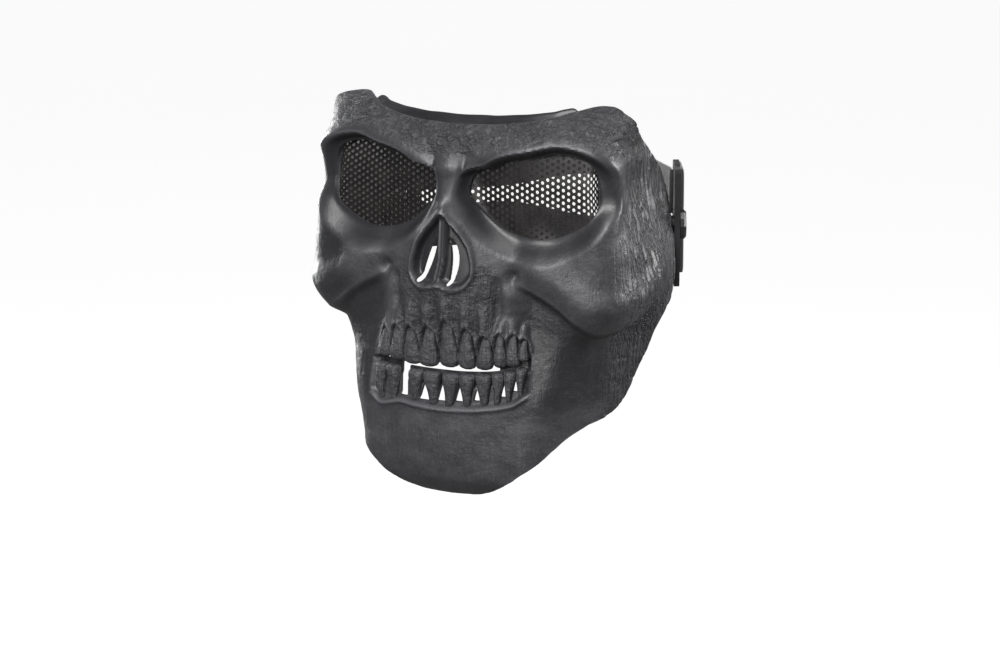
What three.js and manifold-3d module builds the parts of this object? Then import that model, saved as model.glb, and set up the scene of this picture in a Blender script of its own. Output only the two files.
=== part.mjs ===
// A hard moulded skull mask for the whole face: a bone-like shell with pierced steel eye screens,
// a trim strip on the forehead's edge, and two elastic straps held by swivelling plates at the sides.
// Millimetres, +Z up. The mask faces -Y and the wearer's left is +X. The origin is where a head sits:
// on the middle plane, between the two side pivots, on the head's upright axis.
import * as THREE from 'three';
import { mergeVertices } from 'three/addons/utils/BufferGeometryUtils.js';
import Module from 'manifold-3d';

const wasm = await Module();
wasm.setup();

// Overall sizes of the shell
const MASK_WIDTH = 200;
const MASK_HEIGHT = 220;
const JAW_TO_REAR = 95;
const SHELL_WALL = 2.4;
const HEAD_AXIS_BEHIND_JAW = 90;
const PIVOT_UP = 0.66;

// Relief of the face
const MUZZLE_RISE = 11.5;
const SOCKET_DEPTH = 7.5;
const SOCKET_LIP = 2.4;
const LIP_BREADTH = 4.5;
const CHEEKBONE_RISE = 4;
const CHEEK_HOLLOW = 6;
const TEMPLE_HOLLOW = 4;
const NOSE_RECESS = 5;
const NOSE_RIM = 1.4;
const NOSE_RIM_BREADTH = 2;
const SEPTUM_RISE = 3.6;
const SEPTUM_LEAN = 0.022;
const FORAMEN_DEPTH = 3.5;
const FORAMEN_RADIUS = 4.5;
const GLABELLA_RISE = 1.6;
const TOOTH_BED = 2.6;
const GUM_LIP = 1.6;

// Teeth, and the openings cut between them and in the nose
const TOOTH_STANDS_OUT = 2.4;
const TOOTH_ROOTED = 0.7;
const MOUTH_SLIT = 4.6;
const NOSE_SLIT = 3.4;
const TOOTH_GAP = 6.4;
const CUT_REACH = 14;

// Eye screens
const SCREEN_SHEET = 1;
const SCREEN_FLANGE = 3;
const CLEARANCE = 0.3;

// Forehead strip
const STRIP_THICKNESS = 3;
const STRIP_HEIGHT = 9;
const STRIP_STANDS_UP = 4.6;
const STRIP_ENDS_STAND_UP = 1.6;
const STRIP_REACH = 0.345;
const STRIP_LEAN = 0.75;

// Side plates, pivots and straps
const LUG_LENGTH = 17;
const LUG_HEIGHT = 15;
const LUG_THICKNESS = 3;
const PLATE_MIDDLE = 6;
const PLATE_LENGTH = 26;
const PLATE_THICKNESS = 3.2;
const PLATE_CORNER = 5;
const PIVOT_FROM_FRONT = 8;
const PLATE_TURN = 29;
const SLOT_WIDTH = 5;
const BAR_WIDTH = 4;
const PIVOT_SHANK = 5;
const PIVOT_HEAD = 17;
const PIVOT_HEAD_HEIGHT = 3.4;
const BOSS_DIAMETER = 10;
const BOSS_HEIGHT = 1.6;
const NUT_DIAMETER = 9;
const NUT_HEIGHT = 2;
const HEAD_EDGE = 1.3;
const STRAP_WIDTH = 25;
const STRAP_THICKNESS = 1.8;
const STRAP_FOLD_LENGTH = 30;
const FOLD_SLACK = 1;
const SLOT_PLAY = 3;
const HEAD_WIDTH = 150;
const HEAD_MIDDLE = -3;
const HEAD_BACK = 86;
const UPPER_STRAP_RISE = 8;
const LOWER_STRAP_DROP = 8;

const BONE = new THREE.MeshStandardMaterial({ color: 0x3a3b3f, roughness: 0.62, metalness: 0 });
const STEEL = new THREE.MeshStandardMaterial({ color: 0x2b2a2c, roughness: 0.4, metalness: 0.7 });
const TRIM = new THREE.MeshStandardMaterial({ color: 0x24252a, roughness: 0.3, metalness: 0 });
const BUCKLE = new THREE.MeshStandardMaterial({ color: 0x1f1f22, roughness: 0.4, metalness: 0 });
const WEBBING = new THREE.MeshStandardMaterial({ color: 0x1a1a1c, roughness: 0.95, metalness: 0 });

// Sections of the shell from the chin up. Up is a share of the mask's height, setback a share of the depth
// from jaw to rear edge, corner and turn are shares of the width along the section, angles are in degrees:
// bow is how far the front has turned by its middle, side where the temple settles, curl what the rear adds.
const SECTIONS = [
  { up: -0.02, setback: 0.2, bow: 12, corner: 0.19, turn: 0.15, side: 74, curl: 0 },
  { up: 0, setback: 0.096, bow: 12, corner: 0.205, turn: 0.15, side: 74, curl: 0 },
  { up: 0.05, setback: 0.011, bow: 11, corner: 0.213, turn: 0.155, side: 72, curl: 0 },
  { up: 0.136, setback: 0, bow: 11, corner: 0.213, turn: 0.17, side: 72, curl: 0 },
  { up: 0.223, setback: 0.011, bow: 12, corner: 0.238, turn: 0.196, side: 73, curl: 2 },
  { up: 0.341, setback: 0.032, bow: 12, corner: 0.29, turn: 0.216, side: 76, curl: 4 },
  { up: 0.405, setback: 0.043, bow: 11, corner: 0.318, turn: 0.216, side: 79, curl: 5 },
  { up: 0.459, setback: 0.053, bow: 10, corner: 0.372, turn: 0.196, side: 83, curl: 6 },
  { up: 0.532, setback: 0.069, bow: 9, corner: 0.418, turn: 0.175, side: 87, curl: 6 },
  { up: 0.609, setback: 0.074, bow: 8, corner: 0.426, turn: 0.165, side: 87, curl: 10 },
  { up: 0.695, setback: 0.074, bow: 8, corner: 0.412, turn: 0.16, side: 87, curl: 12 },
  { up: 0.782, setback: 0.074, bow: 8, corner: 0.398, turn: 0.165, side: 88, curl: 10 },
  { up: 0.85, setback: 0.074, bow: 10, corner: 0.396, turn: 0.175, side: 89, curl: 6 },
  { up: 0.909, setback: 0.106, bow: 12, corner: 0.384, turn: 0.196, side: 92, curl: 3 },
  { up: 0.973, setback: 0.234, bow: 14, corner: 0.41, turn: 0.227, side: 94, curl: 0 },
  { up: 1.01, setback: 0.4, bow: 18, corner: 0.48, turn: 0.258, side: 95, curl: 0 },
];
const BOW_REACH = 0.31;
const CURL_FROM = 0.61;
const CURL_TO = 0.81;
const WIDEST_UP = 0.57;
const REAR_ACROSS = 0.865;
const REAR_UP = 0.655;

// Edge of the shell on one side, from the middle of the forehead round by the temple and jaw to the chin.
// Across is a share of the width along the section, up a share of the height.
const RIM = [
  { across: 0, up: 0.938 },
  { across: 0.1, up: 0.941 },
  { across: 0.2, up: 0.949 },
  { across: 0.29, up: 0.962 },
  { across: 0.345, up: 0.976 },
  { across: 0.41, up: 0.988 },
  { across: 0.475, up: 0.981 },
  { across: 0.55, up: 0.953 },
  { across: 0.635, up: 0.915 },
  { across: 0.71, up: 0.875 },
  { across: 0.765, up: 0.836 },
  { across: 0.82, up: 0.79 },
  { across: 0.858, up: 0.72 },
  { across: 0.867, up: 0.655 },
  { across: 0.858, up: 0.595 },
  { across: 0.843, up: 0.534 },
  { across: 0.812, up: 0.482 },
  { across: 0.76, up: 0.435 },
  { across: 0.725, up: 0.393 },
  { across: 0.692, up: 0.345 },
  { across: 0.658, up: 0.298 },
  { across: 0.632, up: 0.25 },
  { across: 0.6, up: 0.215 },
  { across: 0.55, up: 0.19 },
  { across: 0.48, up: 0.176 },
  { across: 0.392, up: 0.148 },
  { across: 0.33, up: 0.114 },
  { across: 0.26, up: 0.073 },
  { across: 0.2, up: 0.037 },
  { across: 0.14, up: 0.011 },
  { across: 0.08, up: -0.002 },
  { across: 0, up: -0.006 },
];
const RIM_CENTRE = { across: 0, up: 0.486 };

// Edge of the left eye's opening, anticlockwise from its inner corner. Bevel is the breadth of the socket's
// slope outside that point, a share of the width, and lip how much of the raised border it has.
const EYE = [
  { across: 0.054, up: 0.775, bevel: 0.03, lip: 0 },
  { across: 0.063, up: 0.808, bevel: 0.03, lip: 0.1 },
  { across: 0.145, up: 0.836, bevel: 0.028, lip: 0.7 },
  { across: 0.26, up: 0.861, bevel: 0.03, lip: 1 },
  { across: 0.345, up: 0.875, bevel: 0.032, lip: 1 },
  { across: 0.394, up: 0.868, bevel: 0.034, lip: 1 },
  { across: 0.455, up: 0.843, bevel: 0.038, lip: 1 },
  { across: 0.488, up: 0.81, bevel: 0.042, lip: 0.9 },
  { across: 0.497, up: 0.766, bevel: 0.046, lip: 0.8 },
  { across: 0.448, up: 0.722, bevel: 0.06, lip: 0.5 },
  { across: 0.392, up: 0.69, bevel: 0.07, lip: 0.3 },
  { across: 0.335, up: 0.668, bevel: 0.075, lip: 0.25 },
  { across: 0.273, up: 0.66, bevel: 0.075, lip: 0.2 },
  { across: 0.209, up: 0.667, bevel: 0.07, lip: 0.1 },
  { across: 0.144, up: 0.689, bevel: 0.06, lip: 0 },
  { across: 0.095, up: 0.723, bevel: 0.045, lip: 0 },
];
const EYE_CENTRE = { across: 0.28, up: 0.77 };

// Half of the nose opening's edge, from its point down to the middle between its two lobes
const NOSE = [
  { across: 0, up: 0.722 },
  { across: 0.035, up: 0.695 },
  { across: 0.076, up: 0.655 },
  { across: 0.094, up: 0.622 },
  { across: 0.102, up: 0.585 },
  { across: 0.098, up: 0.562 },
  { across: 0.08, up: 0.542 },
  { across: 0.054, up: 0.532 },
  { across: 0.028, up: 0.534 },
  { across: 0, up: 0.54 },
];
const NOSE_CENTRE = { across: 0, up: 0.605 };

// The muzzle's rise over the base form, as a share of its greatest rise, and its half breadth
const MUZZLE = [
  { up: 0, rise: 0.16, spread: 0.2 },
  { up: 0.1, rise: 0.24, spread: 0.21 },
  { up: 0.191, rise: 0.25, spread: 0.235 },
  { up: 0.259, rise: 0.26, spread: 0.27 },
  { up: 0.327, rise: 0.3, spread: 0.3 },
  { up: 0.395, rise: 0.42, spread: 0.31 },
  { up: 0.464, rise: 0.72, spread: 0.31 },
  { up: 0.532, rise: 1, spread: 0.3 },
  { up: 0.6, rise: 0.9, spread: 0.26 },
  { up: 0.668, rise: 0.73, spread: 0.185 },
  { up: 0.723, rise: 0.48, spread: 0.115 },
  { up: 0.777, rise: 0.22, spread: 0.075 },
  { up: 0.827, rise: 0, spread: 0.06 },
  { up: 1, rise: 0, spread: 0.06 },
];

// Lower edge of the cheekbone, with the hollow of the cheek under it
const CHEEK_EDGE = [
  { across: 0.15, up: 0.585 },
  { across: 0.21, up: 0.562 },
  { across: 0.29, up: 0.53 },
  { across: 0.35, up: 0.5 },
  { across: 0.4, up: 0.466 },
  { across: 0.485, up: 0.434 },
  { across: 0.57, up: 0.44 },
  { across: 0.66, up: 0.474 },
  { across: 0.74, up: 0.515 },
  { across: 0.87, up: 0.56 },
];

// Edge of the gum under the lower teeth, and the line of the mouth between the rows
const GUM_EDGE = [
  { across: 0, up: 0.226 },
  { across: 0.08, up: 0.229 },
  { across: 0.16, up: 0.242 },
  { across: 0.22, up: 0.262 },
  { across: 0.27, up: 0.3 },
];
const MOUTH_LINE = [
  { across: -0.25, up: 0.329 },
  { across: -0.12, up: 0.325 },
  { across: 0, up: 0.324 },
  { across: 0.12, up: 0.328 },
  { across: 0.2, up: 0.338 },
  { across: 0.25, up: 0.358 },
];
const MOUTH_REACH = 0.233;
const MOUTH_STEPS = 15;

// Teeth from the wearer's right to the left: middle and breadth as shares of the width, ends of height
const UPPER_TEETH = [
  { across: -0.212, breadth: 0.047, from: 0.339, to: 0.41 },
  { across: -0.162, breadth: 0.051, from: 0.337, to: 0.418 },
  { across: -0.107, breadth: 0.055, from: 0.334, to: 0.424 },
  { across: -0.044, breadth: 0.064, from: 0.333, to: 0.44 },
  { across: 0.02, breadth: 0.062, from: 0.334, to: 0.452 },
  { across: 0.076, breadth: 0.05, from: 0.334, to: 0.434 },
  { across: 0.128, breadth: 0.05, from: 0.336, to: 0.42 },
  { across: 0.17, breadth: 0.03, from: 0.342, to: 0.43 },
  { across: 0.206, breadth: 0.038, from: 0.347, to: 0.43 },
  { across: 0.24, breadth: 0.026, from: 0.362, to: 0.415 },
];
const LOWER_TEETH = [
  { across: -0.226, breadth: 0.038, from: 0.25, to: 0.312 },
  { across: -0.182, breadth: 0.042, from: 0.244, to: 0.308 },
  { across: -0.093, breadth: 0.048, from: 0.238, to: 0.308 },
  { across: -0.036, breadth: 0.05, from: 0.236, to: 0.307 },
  { across: 0.024, breadth: 0.053, from: 0.236, to: 0.308 },
  { across: 0.078, breadth: 0.046, from: 0.238, to: 0.31 },
  { across: 0.127, breadth: 0.042, from: 0.246, to: 0.314 },
  { across: 0.167, breadth: 0.032, from: 0.258, to: 0.321 },
  { across: 0.203, breadth: 0.03, from: 0.27, to: 0.33 },
  { across: 0.234, breadth: 0.024, from: 0.285, to: 0.342 },
];
// A tooth's outline from its crown to its root: how far along it, and its breadth and stand as shares
const TOOTH_RINGS = [
  { along: 0, breadth: 0.62, stand: 0.55 },
  { along: 0.12, breadth: 0.94, stand: 0.9 },
  { along: 0.45, breadth: 0.86, stand: 1 },
  { along: 1, breadth: 0.42, stand: 0.35 },
];
const MISSING_TOOTH = { across: -0.137, from: 0.255, to: 0.33 };

// Small openings between the roots of the lower teeth: middle, breadth and ends of height
const ROOT_GAPS = [
  { across: -0.063, breadth: 0.034, from: 0.246, to: 0.29 },
  { across: -0.005, breadth: 0.026, from: 0.246, to: 0.286 },
  { across: 0.052, breadth: 0.024, from: 0.246, to: 0.286 },
  { across: 0.104, breadth: 0.018, from: 0.25, to: 0.28 },
  { across: 0.184, breadth: 0.02, from: 0.266, to: 0.31 },
  { across: 0.219, breadth: 0.016, from: 0.284, to: 0.318 },
];

// The two slits in the nose, from the top end to the lower end
const NOSE_SLITS = [
  [{ across: -0.03, up: 0.652 }, { across: -0.052, up: 0.598 }, { across: -0.074, up: 0.546 }],
  [{ across: 0.026, up: 0.652 }, { across: 0.038, up: 0.61 }, { across: 0.026, up: 0.546 }],
];

// Lines of the shell's grid, as stops with the spacing used up to each
const ACROSS_STOPS = [
  { to: 0.12, step: 0.02 },
  { to: 0.27, step: 0.03 },
  { to: 0.52, step: 0.036 },
  { to: 0.9, step: 0.063 },
];
const UP_STOPS = [
  { to: 0.22, step: 0.035 },
  { to: 0.52, step: 0.0333 },
  { to: 0.74, step: 0.022 },
  { to: 0.9, step: 0.0267 },
  { to: 1.01, step: 0.0275 },
];
const LOWEST_LINE = -0.02;
const SNAP = 0.3;

// Small numeric helpers
function ramp(from, to, value) {
  const t = Math.min(1, Math.max(0, (value - from) / (to - from)));
  return t * t * (3 - 2 * t);
}

function bump(offset, spread) {
  return Math.exp(-((offset / spread) ** 2));
}

function mix(a, b, t) {
  return a + (b - a) * t;
}

// A smooth curve through the rows of a table that never swings past them
function curveThrough(rows, from, to) {
  const x = rows.map((row) => row[from]);
  const y = rows.map((row) => row[to]);
  const secant = x.slice(1).map((next, i) => (y[i + 1] - y[i]) / (next - x[i]));
  const slope = x.map((_, i) => {
    if (i === 0 || i === x.length - 1) return 0;
    const [before, after] = [secant[i - 1], secant[i]];
    return before * after <= 0 ? 0 : (2 * before * after) / (before + after);
  });
  return (value) => {
    const v = Math.min(x[x.length - 1], Math.max(x[0], value));
    let i = 0;
    while (i < x.length - 2 && v > x[i + 1]) i += 1;
    const h = x[i + 1] - x[i];
    const t = (v - x[i]) / h;
    const u = 1 - t;
    return y[i] * u * u * (1 + 2 * t) + y[i + 1] * t * t * (3 - 2 * t)
      + h * (slope[i] * t * u * u - slope[i + 1] * t * t * u);
  };
}

// Base form of the shell
const sectionCurve = {};
for (const column of ['setback', 'bow', 'corner', 'turn', 'side', 'curl']) {
  sectionCurve[column] = curveThrough(SECTIONS, 'up', column);
}
const ARC_STEP = 0.01;
const ARC_STEPS = 96;
const sectionCache = new Map();

// Running sums along one section, in shares of the lateral unit, and the turn of the surface at each step
function section(up) {
  const key = up.toFixed(6);
  if (sectionCache.has(key)) return sectionCache.get(key);
  const bow = sectionCurve.bow(up);
  const corner = sectionCurve.corner(up);
  const turn = sectionCurve.turn(up);
  const side = sectionCurve.side(up);
  const curl = sectionCurve.curl(up);
  const heading = (across) => THREE.MathUtils.degToRad(
    bow * ramp(0, BOW_REACH, across)
    + (side - bow) * ramp(corner, corner + turn, across)
    + curl * ramp(CURL_FROM, CURL_TO, across),
  );
  const sums = { heading, x: [0], y: [0] };
  for (let i = 0; i < ARC_STEPS; i += 1) {
    const middle = heading((i + 0.5) * ARC_STEP);
    sums.x.push(sums.x[i] + Math.cos(middle) * ARC_STEP);
    sums.y.push(sums.y[i] + Math.sin(middle) * ARC_STEP);
  }
  sectionCache.set(key, sums);
  return sums;
}

function sumAt(sums, across) {
  const place = Math.min(ARC_STEPS - 1e-9, across / ARC_STEP);
  const i = Math.floor(place);
  return mix(sums[i], sums[i + 1], place - i);
}

const widest = Math.max(...section(WIDEST_UP).x);
const LATERAL = MASK_WIDTH / 2 / widest;
const rearSum = sumAt(section(REAR_UP).y, REAR_ACROSS);
const DEPTHWARD = (JAW_TO_REAR * (1 - sectionCurve.setback(REAR_UP))) / rearSum;

// A point of the face: across and up are shares, raised is the height over the base form along its normal
function facePoint(across, up, raised = 0) {
  const side = Math.abs(across);
  const sums = section(up);
  const heading = sums.heading(side);
  const x = LATERAL * sumAt(sums.x, side) + raised * Math.sin(heading);
  const y = JAW_TO_REAR * sectionCurve.setback(up) + DEPTHWARD * sumAt(sums.y, side) - raised * Math.cos(heading);
  return new THREE.Vector3(across < 0 ? -x : x, y - HEAD_AXIS_BEHIND_JAW, (up - PIVOT_UP) * MASK_HEIGHT);
}

// A closed outline round a centre: gives the distance of a point outside it and the outline's other columns
function closedOutline(points, centre, columns = []) {
  const rows = points.map((point) => {
    const dx = (point.across - centre.across) * LATERAL;
    const dz = (point.up - centre.up) * MASK_HEIGHT;
    return { ...point, angle: Math.atan2(dz, dx), reach: Math.hypot(dx, dz) };
  });
  rows.sort((a, b) => a.angle - b.angle);
  const wrap = 3;
  const turned = (row, turns) => ({ ...row, angle: row.angle + turns * 2 * Math.PI });
  const around = [
    ...rows.slice(-wrap).map((row) => turned(row, -1)),
    ...rows,
    ...rows.slice(0, wrap).map((row) => turned(row, 1)),
  ];
  const reach = curveThrough(around, 'angle', 'reach');
  const others = columns.map((column) => [column, curveThrough(around, 'angle', column)]);
  return (across, up) => {
    const dx = (across - centre.across) * LATERAL;
    const dz = (up - centre.up) * MASK_HEIGHT;
    const angle = Math.atan2(dz, dx);
    const result = { outside: Math.hypot(dx, dz) - reach(angle) };
    for (const [column, curve] of others) result[column] = curve(angle);
    return result;
  };
}

function mirrored(half) {
  return [...half, ...half.slice(1, -1).map((point) => ({ ...point, across: -point.across }))];
}

const rimOutline = closedOutline(mirrored(RIM), RIM_CENTRE);
const eyeOutline = closedOutline(EYE, EYE_CENTRE, ['bevel', 'lip']);
const noseOutline = closedOutline(mirrored(NOSE), NOSE_CENTRE);
const muzzleRise = curveThrough(MUZZLE, 'up', 'rise');
const muzzleSpread = curveThrough(MUZZLE, 'up', 'spread');
const cheekEdge = curveThrough(CHEEK_EDGE, 'across', 'up');
const gumEdge = curveThrough(GUM_EDGE, 'across', 'up');
const mouthLine = curveThrough(MOUTH_LINE, 'across', 'up');

// Relief features, each in millimetres over the base form
function muzzle(side, up) {
  const spread = muzzleSpread(up);
  if (side >= spread) return 0;
  return MUZZLE_RISE * muzzleRise(up) * 0.5 * (1 + Math.cos((Math.PI * side) / spread));
}

function cheekbone(side, up) {
  const reach = ramp(0.2, 0.3, side) * (1 - ramp(0.68, 0.84, side));
  return CHEEKBONE_RISE * reach * bump(up - cheekEdge(side) - 0.055, 0.055);
}

function cheekHollow(side, up) {
  const below = cheekEdge(side) - up;
  const depth = ramp(0, 0.035, below) * (1 - ramp(0.08, 0.3, below));
  return -CHEEK_HOLLOW * depth * ramp(0.17, 0.27, side) * (1 - ramp(0.58, 0.8, side));
}

function templeHollow(side, up) {
  return -TEMPLE_HOLLOW * bump(side - 0.66, 0.1) * bump(up - 0.8, 0.1);
}

function glabella(side, up) {
  const ridge = bump(side, 0.02) * bump(up - 0.845, 0.035);
  const dimples = bump(side - 0.055, 0.024) * bump(up - 0.862, 0.022);
  return GLABELLA_RISE * (ridge - dimples);
}

function foramen(side, up) {
  const distance = Math.hypot((side - 0.21) * LATERAL, (up - 0.568) * MASK_HEIGHT);
  return -FORAMEN_DEPTH * bump(distance, FORAMEN_RADIUS);
}

function toothBed(side, up) {
  const sides = 1 - ramp(0.24, 0.275, side);
  const gum = gumEdge(side);
  const bed = ramp(gum - 0.004, gum + 0.02, up) * (1 - ramp(0.3, 0.34, up));
  return sides * (GUM_LIP * bump(up - gum + 0.008, 0.014) - TOOTH_BED * bed);
}

function noseCavity(across, up) {
  const side = Math.abs(across);
  if (side > 0.16 || up < 0.48 || up > 0.78) return 0;
  const { outside } = noseOutline(across, up);
  const cavity = ramp(0, 2 * NOSE_RIM_BREADTH, -outside);
  const septum = SEPTUM_RISE * cavity * bump(across + SEPTUM_LEAN * ramp(0.62, 0.5, up), 0.018);
  return NOSE_RIM * bump(outside, NOSE_RIM_BREADTH) - NOSE_RECESS * cavity + septum;
}

// The form without the eye sockets, which the screens follow too
function form(across, up) {
  const side = Math.abs(across);
  return muzzle(side, up) + cheekbone(side, up) + cheekHollow(side, up) + templeHollow(side, up)
    + glabella(side, up) + foramen(side, up) + toothBed(side, up) + noseCavity(across, up);
}

function outerRelief(across, up) {
  const eye = eyeOutline(Math.abs(across), up);
  const bevel = eye.bevel * LATERAL;
  const socket = -SOCKET_DEPTH * (1 - ramp(0, bevel, eye.outside));
  const lip = SOCKET_LIP * eye.lip * bump(eye.outside - bevel, LIP_BREADTH) * ramp(0, bevel, eye.outside);
  return form(across, up) + socket + lip;
}

// The wall as measured level along the base normal, which is more where the base form leans back
function levelWall(across, up) {
  const step = 0.01;
  const here = facePoint(across, up);
  const aside = facePoint(across + step, up).sub(here);
  const above = facePoint(across, up + step).sub(here);
  const normal = aside.cross(above).normalize();
  const lean = Math.abs(normal.dot(facePoint(across, up, 1).sub(here)));
  return SHELL_WALL / Math.max(0.5, lean);
}

// The inside has softer sockets than the outside, with a level seat round each eye for the screen's flange
function innerRelief(across, up) {
  const eye = eyeOutline(Math.abs(across), up);
  const seat = SCREEN_FLANGE + 1;
  const socket = -SOCKET_DEPTH * (1 - ramp(seat, seat + eye.bevel * LATERAL, eye.outside));
  return form(across, up) + socket - levelWall(across, up);
}

// Triangulates the part of a grid where inside() is positive. Grid points that lie close to the edge
// move onto it, so that no sliver is left. Each cell is split along the diagonal that suits height() best.
function clippedGrid(acrossLines, upLines, inside, height) {
  const points = [];
  const values = [];
  const columns = acrossLines.length;
  const value = (p) => inside(p[0], p[1]);
  for (const up of upLines) {
    for (const across of acrossLines) {
      points.push([across, up]);
      values.push(inside(across, up));
    }
  }
  const onEdge = (p, q) => {
    let [low, high] = [0, 1];
    const positive = value(p) > 0;
    for (let i = 0; i < 30; i += 1) {
      const t = (low + high) / 2;
      if (value([mix(p[0], q[0], t), mix(p[1], q[1], t)]) > 0 === positive) low = t;
      else high = t;
    }
    return (low + high) / 2;
  };
  const neighbours = [1, -1, columns, -columns];
  const grid = points.map((p) => [...p]);
  grid.forEach((p, i) => {
    let best = null;
    for (const step of neighbours) {
      const j = i + step;
      const sameRow = Math.abs(step) > 1 || Math.floor(j / columns) === Math.floor(i / columns);
      if (j < 0 || j >= grid.length || !sameRow || values[i] > 0 === values[j] > 0) continue;
      const t = onEdge(p, grid[j]);
      if (t < SNAP && (!best || t < best.t)) best = { t, j };
    }
    if (best) {
      points[i] = [mix(p[0], grid[best.j][0], best.t), mix(p[1], grid[best.j][1], best.t)];
      values[i] = 0;
    }
  });
  const crossings = new Map();
  const crossing = (i, j) => {
    const key = i < j ? `${i},${j}` : `${j},${i}`;
    if (!crossings.has(key)) {
      const t = onEdge(points[i], points[j]);
      crossings.set(key, points.length);
      points.push([mix(points[i][0], points[j][0], t), mix(points[i][1], points[j][1], t)]);
    }
    return crossings.get(key);
  };
  const triangles = [];
  const clip = (corners) => {
    if (!corners.some((i) => values[i] > 0)) return;
    const kept = [];
    corners.forEach((i, n) => {
      const j = corners[(n + 1) % 3];
      if (values[i] >= 0) kept.push(i);
      if (values[i] * values[j] < 0) kept.push(crossing(i, j));
    });
    for (let n = 1; n < kept.length - 1; n += 1) triangles.push([kept[0], kept[n], kept[n + 1]]);
  };
  for (let row = 0; row < upLines.length - 1; row += 1) {
    for (let column = 0; column < columns - 1; column += 1) {
      const a = row * columns + column;
      const [b, c, d] = [a + 1, a + columns + 1, a + columns];
      const level = [a, b, c, d].map((i) => height(points[i][0], points[i][1]));
      const middle = height(mix(grid[a][0], grid[c][0], 0.5), mix(grid[a][1], grid[c][1], 0.5));
      const risingError = Math.abs((level[0] + level[2]) / 2 - middle);
      const fallingError = Math.abs((level[1] + level[3]) / 2 - middle);
      if (fallingError < risingError) {
        clip([a, b, d]);
        clip([b, c, d]);
      } else {
        clip([a, b, c]);
        clip([a, c, d]);
      }
    }
  }
  return { points, triangles };
}

// A closed sheet over a flat triangulation: front() and back() give the two faces' points
function sheetOver({ points, triangles }, front, back) {
  const positions = [];
  const used = new Map();
  const order = [];
  for (const i of triangles.flat()) {
    if (!used.has(i)) {
      used.set(i, order.length);
      order.push(i);
    }
  }
  for (const face of [front, back]) {
    for (const i of order) positions.push(...face(points[i][0], points[i][1]).toArray());
  }
  const count = order.length;
  const index = [];
  const edges = new Map();
  for (const triangle of triangles) {
    const [a, b, c] = triangle.map((i) => used.get(i));
    index.push(a, b, c, a + count, c + count, b + count);
    for (const [i, j] of [[a, b], [b, c], [c, a]]) {
      if (edges.has(`${j},${i}`)) edges.delete(`${j},${i}`);
      else edges.set(`${i},${j}`, [i, j]);
    }
  }
  for (const [i, j] of edges.values()) index.push(i, i + count, j + count, i, j + count, j);
  const geometry = new THREE.BufferGeometry();
  geometry.setAttribute('position', new THREE.Float32BufferAttribute(positions, 3));
  geometry.setIndex(index);
  return geometry;
}

function steppedLines(stops, start = 0) {
  const lines = [start];
  let from = start;
  for (const { to, step } of stops) {
    const count = Math.round((to - from) / step);
    for (let i = 1; i <= count; i += 1) lines.push(from + ((to - from) * i) / count);
    from = to;
  }
  return lines;
}

function bothSides(lines) {
  return [...lines.slice(1).map((value) => -value).reverse(), ...lines];
}

// Solids for joining and cutting
function solidOf(geometry) {
  const bare = geometry.clone();
  bare.deleteAttribute('normal');
  bare.deleteAttribute('uv');
  const merged = mergeVertices(bare, 1e-4);
  const mesh = new wasm.Mesh({
    numProp: 3,
    vertProperties: new Float32Array(merged.attributes.position.array),
    triVerts: new Uint32Array(merged.index.array),
  });
  return new wasm.Manifold(mesh);
}

function geometryOf(solid) {
  const mesh = solid.getMesh();
  const geometry = new THREE.BufferGeometry();
  geometry.setAttribute('position', new THREE.BufferAttribute(new Float32Array(mesh.vertProperties), 3));
  geometry.setIndex(new THREE.BufferAttribute(new Uint32Array(mesh.triVerts), 1));
  return geometry;
}

// A tooth: rings stacked from crown to root, with a chamfered front, sunk into the wall behind it
const TOOTH_SECTION = [[-1, 1], [-1, 0.45], [-0.45, 0], [0.45, 0], [1, 0.45], [1, 1]];

function tooth(row, rootUp, crownUp) {
  const positions = [];
  for (const ring of TOOTH_RINGS) {
    const up = mix(crownUp, rootUp, ring.along);
    const half = (row.breadth * ring.breadth) / 2;
    const front = outerRelief(row.across, up) + TOOTH_STANDS_OUT * ring.stand;
    const thickness = TOOTH_STANDS_OUT * ring.stand + SHELL_WALL * TOOTH_ROOTED;
    for (const [aside, depth] of TOOTH_SECTION) {
      positions.push(...facePoint(row.across + aside * half, up, front - depth * thickness).toArray());
    }
  }
  return stackedRings(positions, TOOTH_SECTION.length);
}

// A closed solid from rings of equally many points, given one ring after another
function stackedRings(positions, corners) {
  const rings = positions.length / 3 / corners;
  const index = [];
  for (let ring = 0; ring < rings - 1; ring += 1) {
    for (let i = 0; i < corners; i += 1) {
      const a = ring * corners + i;
      const b = ring * corners + ((i + 1) % corners);
      index.push(a, b, b + corners, a, b + corners, a + corners);
    }
  }
  const last = (rings - 1) * corners;
  for (let i = 1; i < corners - 1; i += 1) {
    index.push(0, i + 1, i);
    index.push(last, last + i, last + i + 1);
  }
  const geometry = new THREE.BufferGeometry();
  geometry.setAttribute('position', new THREE.Float32BufferAttribute(positions, 3));
  geometry.setIndex(index);
  return facingOut(geometry);
}

// Turns a closed geometry's triangles over if they enclose a negative volume
function facingOut(geometry) {
  const position = geometry.attributes.position;
  const index = geometry.index.array;
  const [a, b, c] = [new THREE.Vector3(), new THREE.Vector3(), new THREE.Vector3()];
  let volume = 0;
  for (let i = 0; i < index.length; i += 3) {
    a.fromBufferAttribute(position, index[i]);
    b.fromBufferAttribute(position, index[i + 1]);
    c.fromBufferAttribute(position, index[i + 2]);
    volume += a.dot(b.cross(c));
  }
  if (volume > 0) return geometry;
  for (let i = 0; i < index.length; i += 3) [index[i + 1], index[i + 2]] = [index[i + 2], index[i + 1]];
  return geometry;
}

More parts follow.
